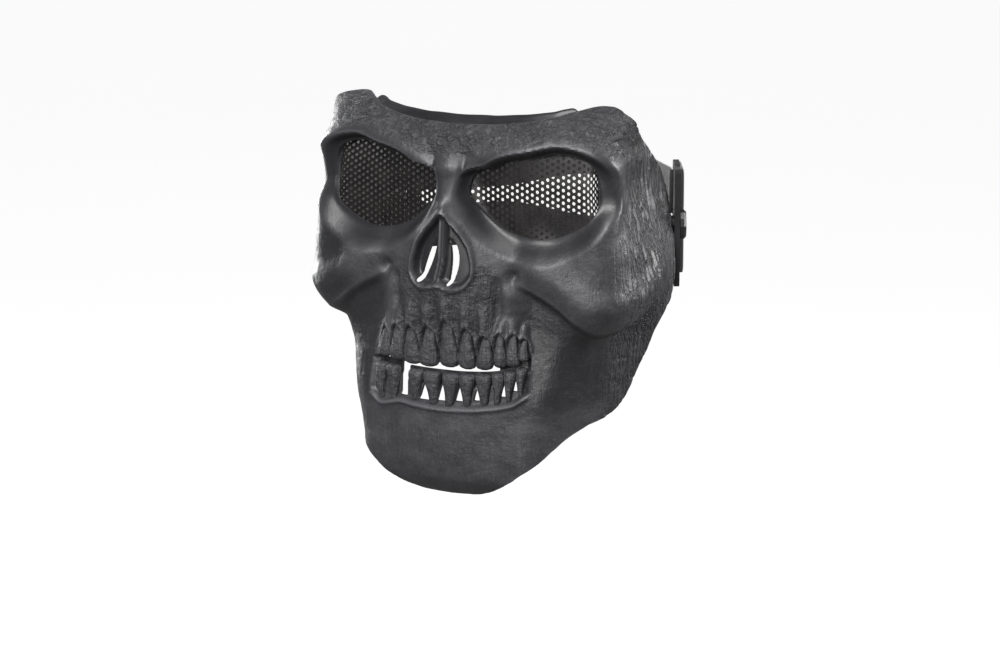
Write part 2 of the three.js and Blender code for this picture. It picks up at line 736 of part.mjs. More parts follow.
// A cutter through the front wall: an outline in shares of the face, swept from front to back
function frontCutter(outline) {
  const corners = outline.length;
  const contour = outline.map((point) => new THREE.Vector2(point.across, point.up));
  if (THREE.ShapeUtils.isClockWise(contour)) contour.reverse();
  const positions = [];
  for (const raised of [CUT_REACH, -CUT_REACH]) {
    for (const point of contour) {
      positions.push(...facePoint(point.x, point.y, form(point.x, point.y) + raised).toArray());
    }
  }
  const caps = THREE.ShapeUtils.triangulateShape(contour, []);
  const index = [];
  for (const [a, b, c] of caps) index.push(a, b, c, a + corners, c + corners, b + corners);
  for (let i = 0; i < corners; i += 1) {
    const j = (i + 1) % corners;
    index.push(i, i + corners, j + corners, i, j + corners, j);
  }
  const geometry = new THREE.BufferGeometry();
  geometry.setAttribute('position', new THREE.Float32BufferAttribute(positions, 3));
  geometry.setIndex(index);
  return facingOut(geometry);
}

// Outline of a slit of one breadth along a line of points
function slitOutline(line, breadth) {
  const half = breadth / 2;
  const sides = [[], []];
  line.forEach((point, i) => {
    const before = line[Math.max(0, i - 1)];
    const after = line[Math.min(line.length - 1, i + 1)];
    const dx = (after.across - before.across) * LATERAL;
    const dz = (after.up - before.up) * MASK_HEIGHT;
    const length = Math.hypot(dx, dz);
    for (const [n, sign] of [[0, 1], [1, -1]]) {
      sides[n].push({
        across: point.across - (sign * half * dz) / length / LATERAL,
        up: point.up + (sign * half * dx) / length / MASK_HEIGHT,
      });
    }
  });
  return [...sides[0], ...sides[1].reverse()];
}

function mouthSlit() {
  const line = [];
  for (let i = 0; i <= MOUTH_STEPS; i += 1) {
    const across = mix(-MOUTH_REACH, MOUTH_REACH, i / MOUTH_STEPS);
    line.push({ across, up: mouthLine(across) });
  }
  return slitOutline(line, MOUTH_SLIT);
}

function rootGap({ across, breadth, from, to }) {
  return [
    { across: across - breadth / 2, up: from },
    { across: across + breadth / 2, up: from },
    { across, up: to },
  ];
}

function missingTooth() {
  const half = TOOTH_GAP / 2 / LATERAL;
  const { across, from, to } = MISSING_TOOTH;
  return [
    { across: across - half, up: from },
    { across: across + half, up: from },
    { across: across + half, up: to },
    { across: across - half, up: to },
  ];
}

// Where a side's plate turns on the shell: on the rear edge at the pivot's height
const rearEdge = rearAcross();
const plateTurn = THREE.MathUtils.degToRad(PLATE_TURN);
const pivotRun = new THREE.Vector3(-Math.sin(plateTurn), Math.cos(plateTurn), 0);
const pivotOut = new THREE.Vector3(Math.cos(plateTurn), Math.sin(plateTurn), 0);

function rearAcross() {
  let [inner, outer] = [0.6, 1];
  for (let i = 0; i < 30; i += 1) {
    const middle = (inner + outer) / 2;
    if (rimOutline(middle, PIVOT_UP).outside < 0) inner = middle;
    else outer = middle;
  }
  return inner;
}

// Middle of the lug's outer face at its root, on the wearer's left
function lugRoot() {
  return facePoint(rearEdge - 0.012, PIVOT_UP, outerRelief(rearEdge - 0.012, PIVOT_UP));
}

// The pivot's axis meets the lug's outer face here
function pivotPoint() {
  return lugRoot().addScaledVector(pivotRun, LUG_LENGTH - LUG_HEIGHT / 2);
}

// Places a geometry built with x along the plate, y up and z outwards at the left pivot
function atPivot(geometry, outwards) {
  const basis = new THREE.Matrix4().makeBasis(pivotRun, new THREE.Vector3(0, 0, 1), pivotOut);
  geometry.applyMatrix4(basis);
  const place = pivotPoint().addScaledVector(pivotOut, outwards);
  return geometry.translate(place.x, place.y, place.z);
}

function plateOutline(length, height, corner) {
  const shape = new THREE.Shape();
  const [left, right] = [-PIVOT_FROM_FRONT, length - PIVOT_FROM_FRONT];
  const half = height / 2;
  shape.moveTo(left + corner, -half);
  shape.lineTo(right - corner, -half);
  shape.quadraticCurveTo(right, -half, right, -half + corner);
  shape.lineTo(right, half - corner);
  shape.quadraticCurveTo(right, half, right - corner, half);
  shape.lineTo(left + corner, half);
  shape.quadraticCurveTo(left, half, left, half - corner);
  shape.lineTo(left, -half + corner);
  shape.quadraticCurveTo(left, -half, left + corner, -half);
  return shape;
}

function circlePath(diameter) {
  const path = new THREE.Path();
  path.absarc(0, 0, diameter / 2, 0, 2 * Math.PI, true);
  return path;
}

const slotHeight = STRAP_WIDTH + SLOT_PLAY;
const slotCentre = (PLATE_MIDDLE + slotHeight) / 2;
const plateHeight = PLATE_MIDDLE + 2 * (slotHeight + BAR_WIDTH);
const slotRight = PLATE_LENGTH - PIVOT_FROM_FRONT - BAR_WIDTH;

function plate() {
  const shape = plateOutline(PLATE_LENGTH, plateHeight, PLATE_CORNER);
  for (const centre of [slotCentre, -slotCentre]) {
    const slot = new THREE.Path();
    slot.moveTo(slotRight - SLOT_WIDTH, centre - slotHeight / 2);
    slot.lineTo(slotRight - SLOT_WIDTH, centre + slotHeight / 2);
    slot.lineTo(slotRight, centre + slotHeight / 2);
    slot.lineTo(slotRight, centre - slotHeight / 2);
    slot.closePath();
    shape.holes.push(slot);
  }
  shape.holes.push(circlePath(PIVOT_SHANK + 2 * CLEARANCE));
  const body = new THREE.ExtrudeGeometry(shape, { depth: PLATE_THICKNESS, bevelEnabled: false, curveSegments: 4 });
  const ring = new THREE.Shape().absarc(0, 0, BOSS_DIAMETER / 2, 0, 2 * Math.PI, false);
  ring.holes.push(circlePath(PIVOT_SHANK + 2 * CLEARANCE));
  const bossDepth = BOSS_HEIGHT + PLATE_THICKNESS / 2;
  const boss = new THREE.ExtrudeGeometry(ring, { depth: bossDepth, bevelEnabled: false, curveSegments: 4 });
  boss.translate(0, 0, -BOSS_HEIGHT);
  return atPivot(geometryOf(solidOf(body).add(solidOf(boss))), CLEARANCE + BOSS_HEIGHT);
}

function pivotScrew() {
  const inner = -LUG_THICKNESS - 2 * CLEARANCE;
  const outer = 2 * CLEARANCE + BOSS_HEIGHT + PLATE_THICKNESS;
  const shank = PIVOT_SHANK / 2;
  const head = PIVOT_HEAD / 2;
  const nut = NUT_DIAMETER / 2;
  const profile = [
    [0, inner - NUT_HEIGHT],
    [nut, inner - NUT_HEIGHT],
    [nut, inner + CLEARANCE],
    [shank, inner + CLEARANCE],
    [shank, outer],
    [head, outer],
    [head, outer + PIVOT_HEAD_HEIGHT - HEAD_EDGE],
    [head - HEAD_EDGE, outer + PIVOT_HEAD_HEIGHT],
    [0, outer + PIVOT_HEAD_HEIGHT],
  ].map(([radius, along]) => new THREE.Vector2(radius, along));
  const geometry = new THREE.LatheGeometry(profile, 12);
  geometry.rotateX(Math.PI / 2);
  return facingOut(atPivot(mergedIndex(geometry), 0));
}

function mergedIndex(geometry) {
  geometry.deleteAttribute('normal');
  geometry.deleteAttribute('uv');
  return mergeVertices(geometry, 1e-4);
}

function lug() {
  const half = LUG_HEIGHT / 2;
  const shape = new THREE.Shape();
  const start = -(LUG_LENGTH - half) - 3;
  shape.moveTo(start, -half);
  shape.absarc(0, 0, half, -Math.PI / 2, Math.PI / 2, false);
  shape.lineTo(start, half);
  shape.closePath();
  shape.holes.push(circlePath(PIVOT_SHANK + 2 * CLEARANCE));
  const options = { depth: LUG_THICKNESS, bevelEnabled: false, curveSegments: 6 };
  return atPivot(new THREE.ExtrudeGeometry(shape, options), -LUG_THICKNESS);
}

function mirroredAcross(geometry) {
  const copy = geometry.clone().applyMatrix4(new THREE.Matrix4().makeScale(-1, 1, 1));
  const index = copy.index.array;
  for (let i = 0; i < index.length; i += 3) [index[i + 1], index[i + 2]] = [index[i + 2], index[i + 1]];
  return copy;
}

// Where the shell's inside has to match the screen's facets
function nearScreen(across, up) {
  return eyeOutline(Math.abs(across), up).outside < 2 * SCREEN_FLANGE;
}

function maskShell() {
  const inside = (across, up) => {
    const eye = eyeOutline(Math.abs(across), up).outside;
    return Math.min(-rimOutline(across, up).outside, eye);
  };
  const upLines = steppedLines(UP_STOPS, LOWEST_LINE);
  const height = (across, up) => (nearScreen(across, up) ? innerRelief : outerRelief)(across, up);
  const grid = clippedGrid(bothSides(steppedLines(ACROSS_STOPS)), upLines, inside, height);
  const front = (across, up) => facePoint(across, up, outerRelief(across, up));
  const back = (across, up) => facePoint(across, up, innerRelief(across, up));
  let solid = solidOf(facingOut(sheetOver(grid, front, back)));
  const cuts = [
    mouthSlit(),
    missingTooth(),
    ...ROOT_GAPS.map(rootGap),
    ...NOSE_SLITS.map((line) => slitOutline(line, NOSE_SLIT)),
  ];
  for (const outline of cuts) solid = solid.subtract(solidOf(frontCutter(outline)));
  for (const row of UPPER_TEETH) solid = solid.add(solidOf(tooth(row, row.to, row.from)));
  for (const row of LOWER_TEETH) solid = solid.add(solidOf(tooth(row, row.from, row.to)));
  const leftLug = mergedIndex(lug());
  solid = solid.add(solidOf(leftLug)).add(solidOf(mirroredAcross(leftLug)));
  return geometryOf(solid);
}

// The left eye's screen: a thin sheet on the seat behind the opening
function eyeScreen() {
  const inside = (across, up) => SCREEN_FLANGE - eyeOutline(across, up).outside;
  const upLines = steppedLines(UP_STOPS, LOWEST_LINE);
  const grid = clippedGrid(steppedLines(ACROSS_STOPS), upLines, inside, innerRelief);
  const seat = (across, up) => form(across, up) - SOCKET_DEPTH - levelWall(across, up) - CLEARANCE;
  const front = (across, up) => facePoint(across, up, seat(across, up));
  const back = (across, up) => facePoint(across, up, seat(across, up) - SCREEN_SHEET);
  return facingOut(sheetOver(grid, front, back));
}

function rimUp(across) {
  let [low, high] = [EYE_CENTRE.up, SECTIONS[SECTIONS.length - 1].up];
  for (let i = 0; i < 30; i += 1) {
    const middle = (low + high) / 2;
    if (rimOutline(across, middle).outside < 0) low = middle;
    else high = middle;
  }
  return low;
}

// The trim strip: a flat bar that follows the inside of the forehead's edge and stands up behind it
function foreheadStrip() {
  const steps = 20;
  const positions = [];
  for (let i = 0; i <= steps; i += 1) {
    const across = mix(-STRIP_REACH, STRIP_REACH, i / steps);
    const up = rimUp(across);
    const top = facePoint(across, up, innerRelief(across, up));
    const ahead = facePoint(across + 0.01, up, innerRelief(across + 0.01, up));
    const behind = facePoint(across - 0.01, up, innerRelief(across - 0.01, up));
    const run = ahead.sub(behind).setZ(0).normalize();
    const inwards = new THREE.Vector3(-run.y, run.x, 0);
    const crest = mix(STRIP_STANDS_UP, STRIP_ENDS_STAND_UP, (across / STRIP_REACH) ** 2);
    const foot = crest - STRIP_HEIGHT;
    for (const [depth, height] of [[0, foot], [0, crest], [1, crest], [1, foot]]) {
      const inset = 2 * CLEARANCE + depth * STRIP_THICKNESS + height * STRIP_LEAN;
      const corner = top.clone().addScaledVector(inwards, inset);
      positions.push(corner.x, corner.y, corner.z + height);
    }
  }
  return stackedRings(positions, 4);
}

// A flat ribbon along a line of points in plan, one strap width high, from its middle line outwards
function ribbon(line) {
  const positions = [];
  line.forEach((point, i) => {
    const before = line[Math.max(0, i - 1)];
    const after = line[Math.min(line.length - 1, i + 1)];
    const run = after.clone().sub(before).setZ(0).normalize();
    const out = new THREE.Vector3(run.y, -run.x, 0);
    for (const [side, height] of [[-1, -1], [1, -1], [1, 1], [-1, 1]]) {
      const corner = point.clone().addScaledVector(out, (side * STRAP_THICKNESS) / 2);
      positions.push(corner.x, corner.y, corner.z + (height * STRAP_WIDTH) / 2);
    }
  });
  return stackedRings(positions, 4);
}

// A strap from its fold on the left plate round the back of the head to the fold on the right plate
function strap(slotSide, climb) {
  const clear = CLEARANCE + STRAP_THICKNESS / 2;
  const plateInner = CLEARANCE + BOSS_HEIGHT;
  const plateOuter = plateInner + PLATE_THICKNESS;
  const barMiddle = slotRight + BAR_WIDTH / 2;
  const at = (along, out) => {
    const point = pivotPoint().addScaledVector(pivotRun, along).addScaledVector(pivotOut, out);
    point.z += slotSide * slotCentre;
    return point;
  };
  const outer = plateOuter + clear + FOLD_SLACK;
  const inner = plateInner - clear;
  const middle = (outer + inner) / 2;
  const radius = (outer - inner) / 2;
  const straightFrom = slotRight - SLOT_WIDTH / 2 + FOLD_SLACK;
  const pastBar = barMiddle + BAR_WIDTH;
  const bulge = (SLOT_WIDTH - STRAP_THICKNESS) / 2 - CLEARANCE;
  const left = [at(straightFrom + STRAP_FOLD_LENGTH, outer), at(pastBar, outer), at(straightFrom, outer)];
  const turns = 5;
  for (let i = 1; i < turns; i += 1) {
    const angle = (Math.PI * i) / turns;
    left.push(at(straightFrom - Math.sin(angle) * bulge, middle + radius * Math.cos(angle)));
  }
  left.push(at(straightFrom, inner), at(pastBar, inner));
  const leaves = left[left.length - 1];
  const [halfWidth, halfLength] = [HEAD_WIDTH / 2, HEAD_BACK - HEAD_MIDDLE];
  const px = leaves.x / halfWidth;
  const py = (leaves.y - HEAD_MIDDLE) / halfLength;
  const touches = Math.atan2(py, px) + Math.acos(1 / Math.hypot(px, py));
  const back = [];
  const steps = 12;
  for (let i = 0; i <= steps; i += 1) {
    const turn = mix(touches, Math.PI / 2, i / steps);
    const x = i === steps ? 0 : halfWidth * Math.cos(turn);
    const y = HEAD_MIDDLE + halfLength * Math.sin(turn);
    back.push(new THREE.Vector3(x, y, leaves.z + climb * ramp(0, 1, i / steps)));
  }
  const half = [...left, ...back];
  const other = half.slice(0, -1).reverse().map((point) => new THREE.Vector3(-point.x, point.y, point.z));
  return ribbon([...half, ...other]);
}

// The assembly
const mask = new THREE.Group();

function place(name, geometry, material) {
  const mesh = new THREE.Mesh(geometry, material);
  mesh.name = name;
  mask.add(mesh);
}

place('mask_shell', maskShell(), BONE);
const leftScreen = eyeScreen();
place('eye_screen_left', leftScreen, STEEL);
place('eye_screen_right', mirroredAcross(leftScreen), STEEL);
place('forehead_strip', foreheadStrip(), TRIM);
const leftPlate = plate();
place('strap_plate_left', leftPlate, BUCKLE);
place('strap_plate_right', mirroredAcross(leftPlate), BUCKLE);
const leftScrew = pivotScrew();
place('pivot_screw_left', leftScrew, BUCKLE);
place('pivot_screw_right', mirroredAcross(leftScrew), BUCKLE);
place('strap_upper', strap(1, UPPER_STRAP_RISE), WEBBING);
place('strap_lower', strap(-1, -LOWER_STRAP_DROP), WEBBING);

export default mask;
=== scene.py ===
import math

import bpy
import numpy as np
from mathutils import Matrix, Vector


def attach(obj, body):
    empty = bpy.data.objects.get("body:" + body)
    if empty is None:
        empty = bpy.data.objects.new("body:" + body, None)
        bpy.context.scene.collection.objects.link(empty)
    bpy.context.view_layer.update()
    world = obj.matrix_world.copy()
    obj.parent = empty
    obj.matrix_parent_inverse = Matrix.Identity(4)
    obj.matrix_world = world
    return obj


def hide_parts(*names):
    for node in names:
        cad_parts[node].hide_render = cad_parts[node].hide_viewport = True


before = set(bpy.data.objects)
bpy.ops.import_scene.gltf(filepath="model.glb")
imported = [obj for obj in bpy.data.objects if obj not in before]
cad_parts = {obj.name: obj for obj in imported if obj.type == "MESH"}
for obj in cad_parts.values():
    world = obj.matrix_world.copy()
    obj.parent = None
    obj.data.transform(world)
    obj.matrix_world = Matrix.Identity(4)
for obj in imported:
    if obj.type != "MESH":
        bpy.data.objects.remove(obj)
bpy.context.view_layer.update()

# The skull mask: a fine moulded shell in place of the faceted one, pierced screens, trim and webbing.
# The shape is worked out in millimetres and shares, as on the solid model, and turned to metres at the end.
METRE = 0.001

# Camera, at the photograph's angle to the face
CAMERA_AZIMUTH = math.radians(29)
CAMERA_ELEVATION = math.radians(11)
CAMERA_DISTANCE = 2.0
CAMERA_ASIDE = 0.020
CAMERA_AIM = Vector((0, -0.065, -0.0582))
SENSOR_WIDTH = 36
CAMERA_LENS = 128.57

# Overall sizes of the shell
MASK_WIDTH = 200
MASK_HEIGHT = 220
JAW_TO_REAR = 95
SHELL_WALL = 2.4
LEAST_WALL = 1.3
HEAD_AXIS_BEHIND_JAW = 90
PIVOT_UP = 0.66

# Relief of the face
MUZZLE_RISE = 11.5
SOCKET_DEPTH = 7.5
SOCKET_LIP = 2.7
LIP_INNER_BREADTH = 3.2
LIP_OUTER_BREADTH = 6.5
CHEEKBONE_RISE = 5.2
CHEEKBONE_OVER_EDGE = 0.055
CHEEK_HOLLOW = 6
NOSE_RECESS = 5.5
NOSE_RIM = 1.9
NOSE_RIM_BREADTH = 1.6
SEPTUM_RISE = 4.2
SEPTUM_LEAN = 0.022
FORAMEN = (0.21, 0.568)
FORAMEN_DEPTH = 4.5
FORAMEN_RADIUS = 4
FLANK_GROOVE = 3.4
FLANK_GROOVE_ACROSS = 0.168
FLANK_GROOVE_BREADTH = 0.019
GROOVE_DEPTH = 0.6
CRUST_DEPTH = 1.3

# Teeth and their beds
UPPER_BED = 2.3
UPPER_STAND = 4.1
LOWER_BED = 2.7
LOWER_STAND = 4.2
TOOTH_SUNK = 0.8
TOOTH_RINGS = 26
TOOTH_FRONT_POINTS = 13
TOOTH_GRAIN_DEPTH = 0.16
SCALLOP_TOP = 0.016
SCALLOP_DEPTH = 0.013
ROOT_RIDGE = 2.4
ROOT_RIDGE_LENGTH = 0.1
OUTER_RIDGE_LENGTH = 0.05
OUTER_RIDGE_LOSS = 0.45
OUTER_TEETH = (0.14, 0.18)
ROOT_GROOVE = 1.5
ARCH_RIM = 1.0
ARCH_RIM_BREADTH = 0.9
GUM_LIP = 1.6
GUM_LIP_BREADTH = 0.006
MOUTH_SLIT = 3.0
NOSE_SLIT = 4.8
TOOTH_GAP = 5.4

# Forehead strip
STRIP_THICKNESS = 3
STRIP_HEIGHT = 9
STRIP_STANDS_UP = 4.6
STRIP_ENDS_STAND_UP = 1.6
STRIP_REACH = 0.352
STRIP_LEAN = 0.75
STRIP_END_ROUNDING = 3.0
STRIP_END_STEPS = np.array([0.3, 0.8, 1.6, 2.8])
STRIP_RINGS = 70
STRIP_POINTS_AROUND = 24

# Side plates, pivots and straps
LUG_LENGTH = 17
LUG_HEIGHT = 15
LUG_THICKNESS = 3
LUG_FROM_EDGE = 0.012
PLATE_MIDDLE = 6
PLATE_LENGTH = 26
PLATE_THICKNESS = 3.2
PIVOT_FROM_FRONT = 8
PLATE_TURN = 29
SLOT_WIDTH = 5
SLOT_PLAY = 3
BAR_WIDTH = 4
BOSS_HEIGHT = 1.6
STRAP_WIDTH = 25
STRAP_THICKNESS = 1.8
STRAP_FOLD_LENGTH = 30
WEFT_PITCH = 1.5
WARP_PITCH = 1.1
FOLD_RINGS = 12
BEND_RINGS = 15
SIDE_RINGS = 20
BACK_RINGS = 49
FOLD_SLACK = 1
HEAD_WIDTH = 150
HEAD_MIDDLE = -3
HEAD_BACK = 86
UPPER_STRAP_RISE = 8
LOWER_STRAP_DROP = 8

# Screens
SCREEN_SHEET = 0.8
SCREEN_FLANGE = 3
CLEARANCE = 0.3
HOLE_PITCH = 3.5
HOLE_DIAMETER = 2.05
HOLE_SIDES = 12
HOLE_FROM_EDGE = 1.2
SCREEN_REACH = 48

# Lights: name, place in metres, breadth and watts, all turned to one point of the face
LIGHTS = [
    ("front", (0.1, -1.1, 0.95), 0.8, 22),
    ("front_low", (0.2, -1.3, 0.2), 0.7, 5),
    ("top", (0.25, -0.25, 1.3), 0.6, 7),
    ("left", (-1.15, 0.45, 0.1), 0.6, 13),
    ("right", (1.1, 0.8, 0.4), 0.7, 23),
]
LIT_POINT = (0, -0.05, -0.02)
SURROUND_STRENGTH = 0.23
FLOOR_GLOW = 0.86
FLOOR_REACH = 12.0
FLOOR_LEVEL = -0.5

# Sections of the shell from the chin up, with the columns up, setback, bow, corner, turn, side and curl
SECTIONS = np.array([
    (-0.02, 0.2, 12, 0.19, 0.15, 74, 0),
    (0, 0.096, 12, 0.205, 0.15, 74, 0),
    (0.05, 0.011, 11, 0.213, 0.155, 72, 0),
    (0.136, 0, 11, 0.213, 0.17, 72, 0),
    (0.223, 0.011, 12, 0.238, 0.196, 73, 2),
    (0.341, 0.032, 12, 0.29, 0.216, 76, 4),
    (0.405, 0.043, 11, 0.318, 0.216, 79, 5),
    (0.459, 0.053, 10, 0.372, 0.196, 83, 6),
    (0.532, 0.069, 9, 0.418, 0.175, 87, 6),
    (0.609, 0.074, 8, 0.426, 0.165, 87, 10),
    (0.695, 0.074, 8, 0.412, 0.16, 87, 12),
    (0.782, 0.074, 8, 0.398, 0.165, 88, 10),
    (0.85, 0.074, 10, 0.396, 0.175, 89, 6),
    (0.909, 0.106, 12, 0.384, 0.196, 92, 3),
    (0.973, 0.234, 14, 0.41, 0.227, 94, 0),
    (1.01, 0.4, 18, 0.48, 0.258, 95, 0),
])
BOW_REACH = 0.31
CURL_FROM = 0.61
CURL_TO = 0.81
WIDEST_UP = 0.57
REAR_ACROSS = 0.865
REAR_UP = 0.655

# Edge of the shell on one side: across and up
RIM = [
    (0, 0.938), (0.1, 0.941), (0.2, 0.949), (0.29, 0.962), (0.345, 0.976), (0.41, 0.988),
    (0.475, 0.981), (0.55, 0.953), (0.635, 0.915), (0.71, 0.875), (0.765, 0.836), (0.82, 0.79),
    (0.858, 0.72), (0.867, 0.655), (0.858, 0.595), (0.843, 0.534), (0.812, 0.482), (0.76, 0.435),
    (0.725, 0.393), (0.692, 0.345), (0.658, 0.298), (0.632, 0.25), (0.6, 0.215), (0.55, 0.19),
    (0.48, 0.176), (0.392, 0.148), (0.33, 0.114), (0.26, 0.073), (0.2, 0.037), (0.14, 0.011),
    (0.08, -0.002), (0, -0.006),
]
RIM_CENTRE = (0, 0.486)

# Edge of the left eye's opening: across, up, breadth of the socket's slope, and its border's strength
EYE = [
    (0.054, 0.775, 0.03, 0), (0.063, 0.808, 0.03, 0.1), (0.145, 0.836, 0.028, 0.7),
    (0.26, 0.861, 0.03, 1), (0.345, 0.875, 0.032, 1), (0.394, 0.868, 0.034, 1),
    (0.455, 0.843, 0.038, 1), (0.488, 0.81, 0.042, 0.9), (0.497, 0.766, 0.046, 0.8),
    (0.448, 0.722, 0.06, 0.5), (0.392, 0.69, 0.07, 0.3), (0.335, 0.668, 0.075, 0.25),
    (0.273, 0.66, 0.075, 0.2), (0.209, 0.667, 0.07, 0.1), (0.144, 0.689, 0.06, 0),
    (0.095, 0.723, 0.045, 0),
]
EYE_CENTRE = (0.28, 0.77)

# Half of the nose opening's edge, from its point down to the middle between its two lobes
NOSE = [
    (0, 0.722), (0.035, 0.695), (0.076, 0.655), (0.094, 0.622), (0.102, 0.585),
    (0.098, 0.562), (0.08, 0.542), (0.054, 0.532), (0.028, 0.534), (0, 0.54),
]
NOSE_CENTRE = (0, 0.605)

# The muzzle: up, share of its rise, half breadth as a share of the face
MUZZLE = np.array([
    (0, 0.16, 0.2), (0.1, 0.24, 0.21), (0.191, 0.25, 0.235), (0.259, 0.26, 0.27), (0.327, 0.3, 0.3),
    (0.395, 0.42, 0.31), (0.464, 0.72, 0.31), (0.532, 1, 0.3), (0.6, 0.93, 0.26), (0.668, 0.84, 0.18),
    (0.723, 0.72, 0.11), (0.777, 0.42, 0.09), (0.83, 0.12, 0.09), (0.86, 0, 0.08), (1, 0, 0.08),
])

# Round humps and dents: rise in millimetres, place across and up, half breadth and half height
SPOTS = [
    (-4, 0.66, 0.8, 0.1, 0.1),
    (2.6, 0, 0.838, 0.034, 0.026),
    (-2, 0.055, 0.862, 0.024, 0.022),
    (-1.2, 0.05, 0.835, 0.011, 0.028),
    (1.6, 0, 0.742, 0.016, 0.014),
    (1.4, 0.232, 0.5, 0.028, 0.04),
]

# Stretches across or up, in which a form grows between the first two places and fades between the last two
CHEEKBONE_SPAN = (0.2, 0.3, 0.68, 0.84)
CHEEK_HOLLOW_SPAN = (0.17, 0.27, 0.58, 0.8)
CHEEK_HOLLOW_BELOW = (0, 0.03, 0.08, 0.3)
FLANK_GROOVE_SPAN = (0.42, 0.47, 0.54, 0.58)
ROOTS_SPAN = (0.4, 0.44, 0.49, 0.53)
GROOVED_ROOTS_SPAN = (0.42, 0.47, 0.5, 0.56)
ARCH_RIM_SPAN = (0.3, 0.5, 1, 1.2)
MUZZLE_FRONT_SPAN = (0.33, 0.36, 0.56, 0.62)
# Where the colour is darkened as painted shade and the surface made glossier: across the hollows under the
# cheekbones, and up the wearer's right cheek
POLISHED_AND_SHADED_HOLLOW_SPAN = (0.2, 0.28, 0.5, 0.62)
POLISHED_AND_SHADED_CHEEK_SPAN = (0.44, 0.5, 0.62, 0.68)

# Noise of the moulded bone: size across and up in millimetres, and seed
GROOVES = (3.2, 26, 11)
GROOVE_WANDER = (9, 30, 5)
PITS = (5, 3.2, 23)
DENTS = (14, 11, 31)
CRUST = (6.5, 5, 43)
CHIPPED_EDGE = (6, 6, 71)
UNEVEN_EDGE = (4, 4, 77)
TOOTH_GRAIN = (1.6, 2.8, 91)

# Lower edge of the cheekbone, edge of the gum under the lower teeth, and line of the mouth: across, up
CHEEK_EDGE = np.array([
    (0.15, 0.585), (0.21, 0.562), (0.29, 0.53), (0.35, 0.5), (0.4, 0.466),
    (0.485, 0.434), (0.57, 0.44), (0.66, 0.474), (0.74, 0.515), (0.87, 0.56),
])
GUM_EDGE = np.array([(0, 0.226), (0.08, 0.229), (0.16, 0.237), (0.22, 0.249), (0.27, 0.272)])
MOUTH_LINE = np.array([
    (-0.25, 0.329), (-0.12, 0.325), (0, 0.324), (0.12, 0.328), (0.2, 0.338), (0.25, 0.358),
])

# Upper teeth from the wearer's right to the left: middle, breadth, crown's end, top of the gum's arch
UPPER_TEETH = [
    (-0.216, 0.052, 0.334, 0.412), (-0.163, 0.055, 0.33, 0.424), (-0.107, 0.06, 0.327, 0.426),
    (-0.044, 0.067, 0.326, 0.432), (0.02, 0.066, 0.33, 0.452), (0.081, 0.057, 0.329, 0.434),
    (0.134, 0.055, 0.33, 0.418), (0.178, 0.041, 0.338, 0.426), (0.215, 0.046, 0.341, 0.423),
    (0.244, 0.035, 0.354, 0.412),
]
# Lower teeth: middle, breadth, root's end, crown's top
LOWER_TEETH = [
    (-0.226, 0.048, 0.226, 0.319), (-0.178, 0.048, 0.224, 0.317), (-0.092, 0.054, 0.236, 0.314),
    (-0.034, 0.06, 0.232, 0.314), (0.025, 0.061, 0.231, 0.3145), (0.081, 0.054, 0.234, 0.316),
    (0.131, 0.051, 0.238, 0.319), (0.173, 0.042, 0.244, 0.324), (0.209, 0.04, 0.254, 0.33),
    (0.242, 0.034, 0.266, 0.338),
]
# Gap of the missing tooth: middle, and ends of height
MISSING_TOOTH = (-0.142, 0.242, 0.325)
# How much lower the gum's edge lies at the wearer's right end of the mouth, and where it goes down
RIGHT_GUM_DROP = 0.03
RIGHT_GUM_FROM = 0.13
RIGHT_GUM_TO = 0.24

# A tooth from its crown's tip, at 0, to its root's end, at 1: shares of its half breadth and of its stand
UPPER_FORM = np.array([
    (0, 0.4, 0.42), (0.02, 0.64, 0.6), (0.06, 0.86, 0.8), (0.13, 0.97, 0.94), (0.25, 0.98, 1),
    (0.42, 0.84, 0.98), (0.58, 0.68, 0.88), (0.76, 0.58, 0.66), (0.9, 0.5, 0.4), (1.06, 0.42, 0.1),
])
LOWER_FORM = np.array([
    (0, 0.72, 0.5), (0.03, 0.9, 0.8), (0.09, 0.98, 1), (0.2, 0.96, 1.04), (0.4, 0.8, 0.94),
    (0.65, 0.56, 0.8), (0.85, 0.46, 0.68), (1, 0.42, 0.5), (1.08, 0.4, 0.25),
])
# Half breadth of the gum's arch round an upper tooth, as a share of the tooth's
ARCH_FORM = np.array([
    (0.2, 1.3), (0.3, 1.12), (0.42, 0.98), (0.58, 0.87), (0.74, 0.74), (0.88, 0.52), (0.96, 0.28), (1, 0.08),
])

# Openings between the lower roots: middle, breadth, and ends of height
ROOT_GAPS = [
    (-0.063, 0.044, 0.238, 0.286), (-0.005, 0.034, 0.24, 0.284), (0.053, 0.032, 0.243, 0.284),
    (0.107, 0.022, 0.248, 0.279), (0.191, 0.024, 0.262, 0.308), (0.226, 0.02, 0.278, 0.314),
]
# Ends of the mouth's long slit, and the small holes past them: across, up, half length in millimetres
MOUTH_SLIT_ENDS = (-0.15, 0.172)
MOUTH_HOLES = [(-0.207, 0.3325, 3.4), (0.214, 0.3435, 2.6)]
# The nose's slits: top, a middle point that bends them, and foot
NOSE_SLITS = [
    [(-0.027, 0.654), (-0.046, 0.602), (-0.072, 0.549)],
    [(0.024, 0.652), (0.05, 0.61), (0.026, 0.546)],
]


# Helpers on arrays
def ramp(start, end, value):
    t = np.clip((value - start) / (end - start), 0, 1)
    return t * t * (3 - 2 * t)


def bump(offset, spread):
    return np.exp(-((offset / spread) ** 2))


def within(span, value):
    start, full, fade, end = span
    return ramp(start, full, value) * (1 - ramp(fade, end, value))


def mix(a, b, t):
    return a + (b - a) * t


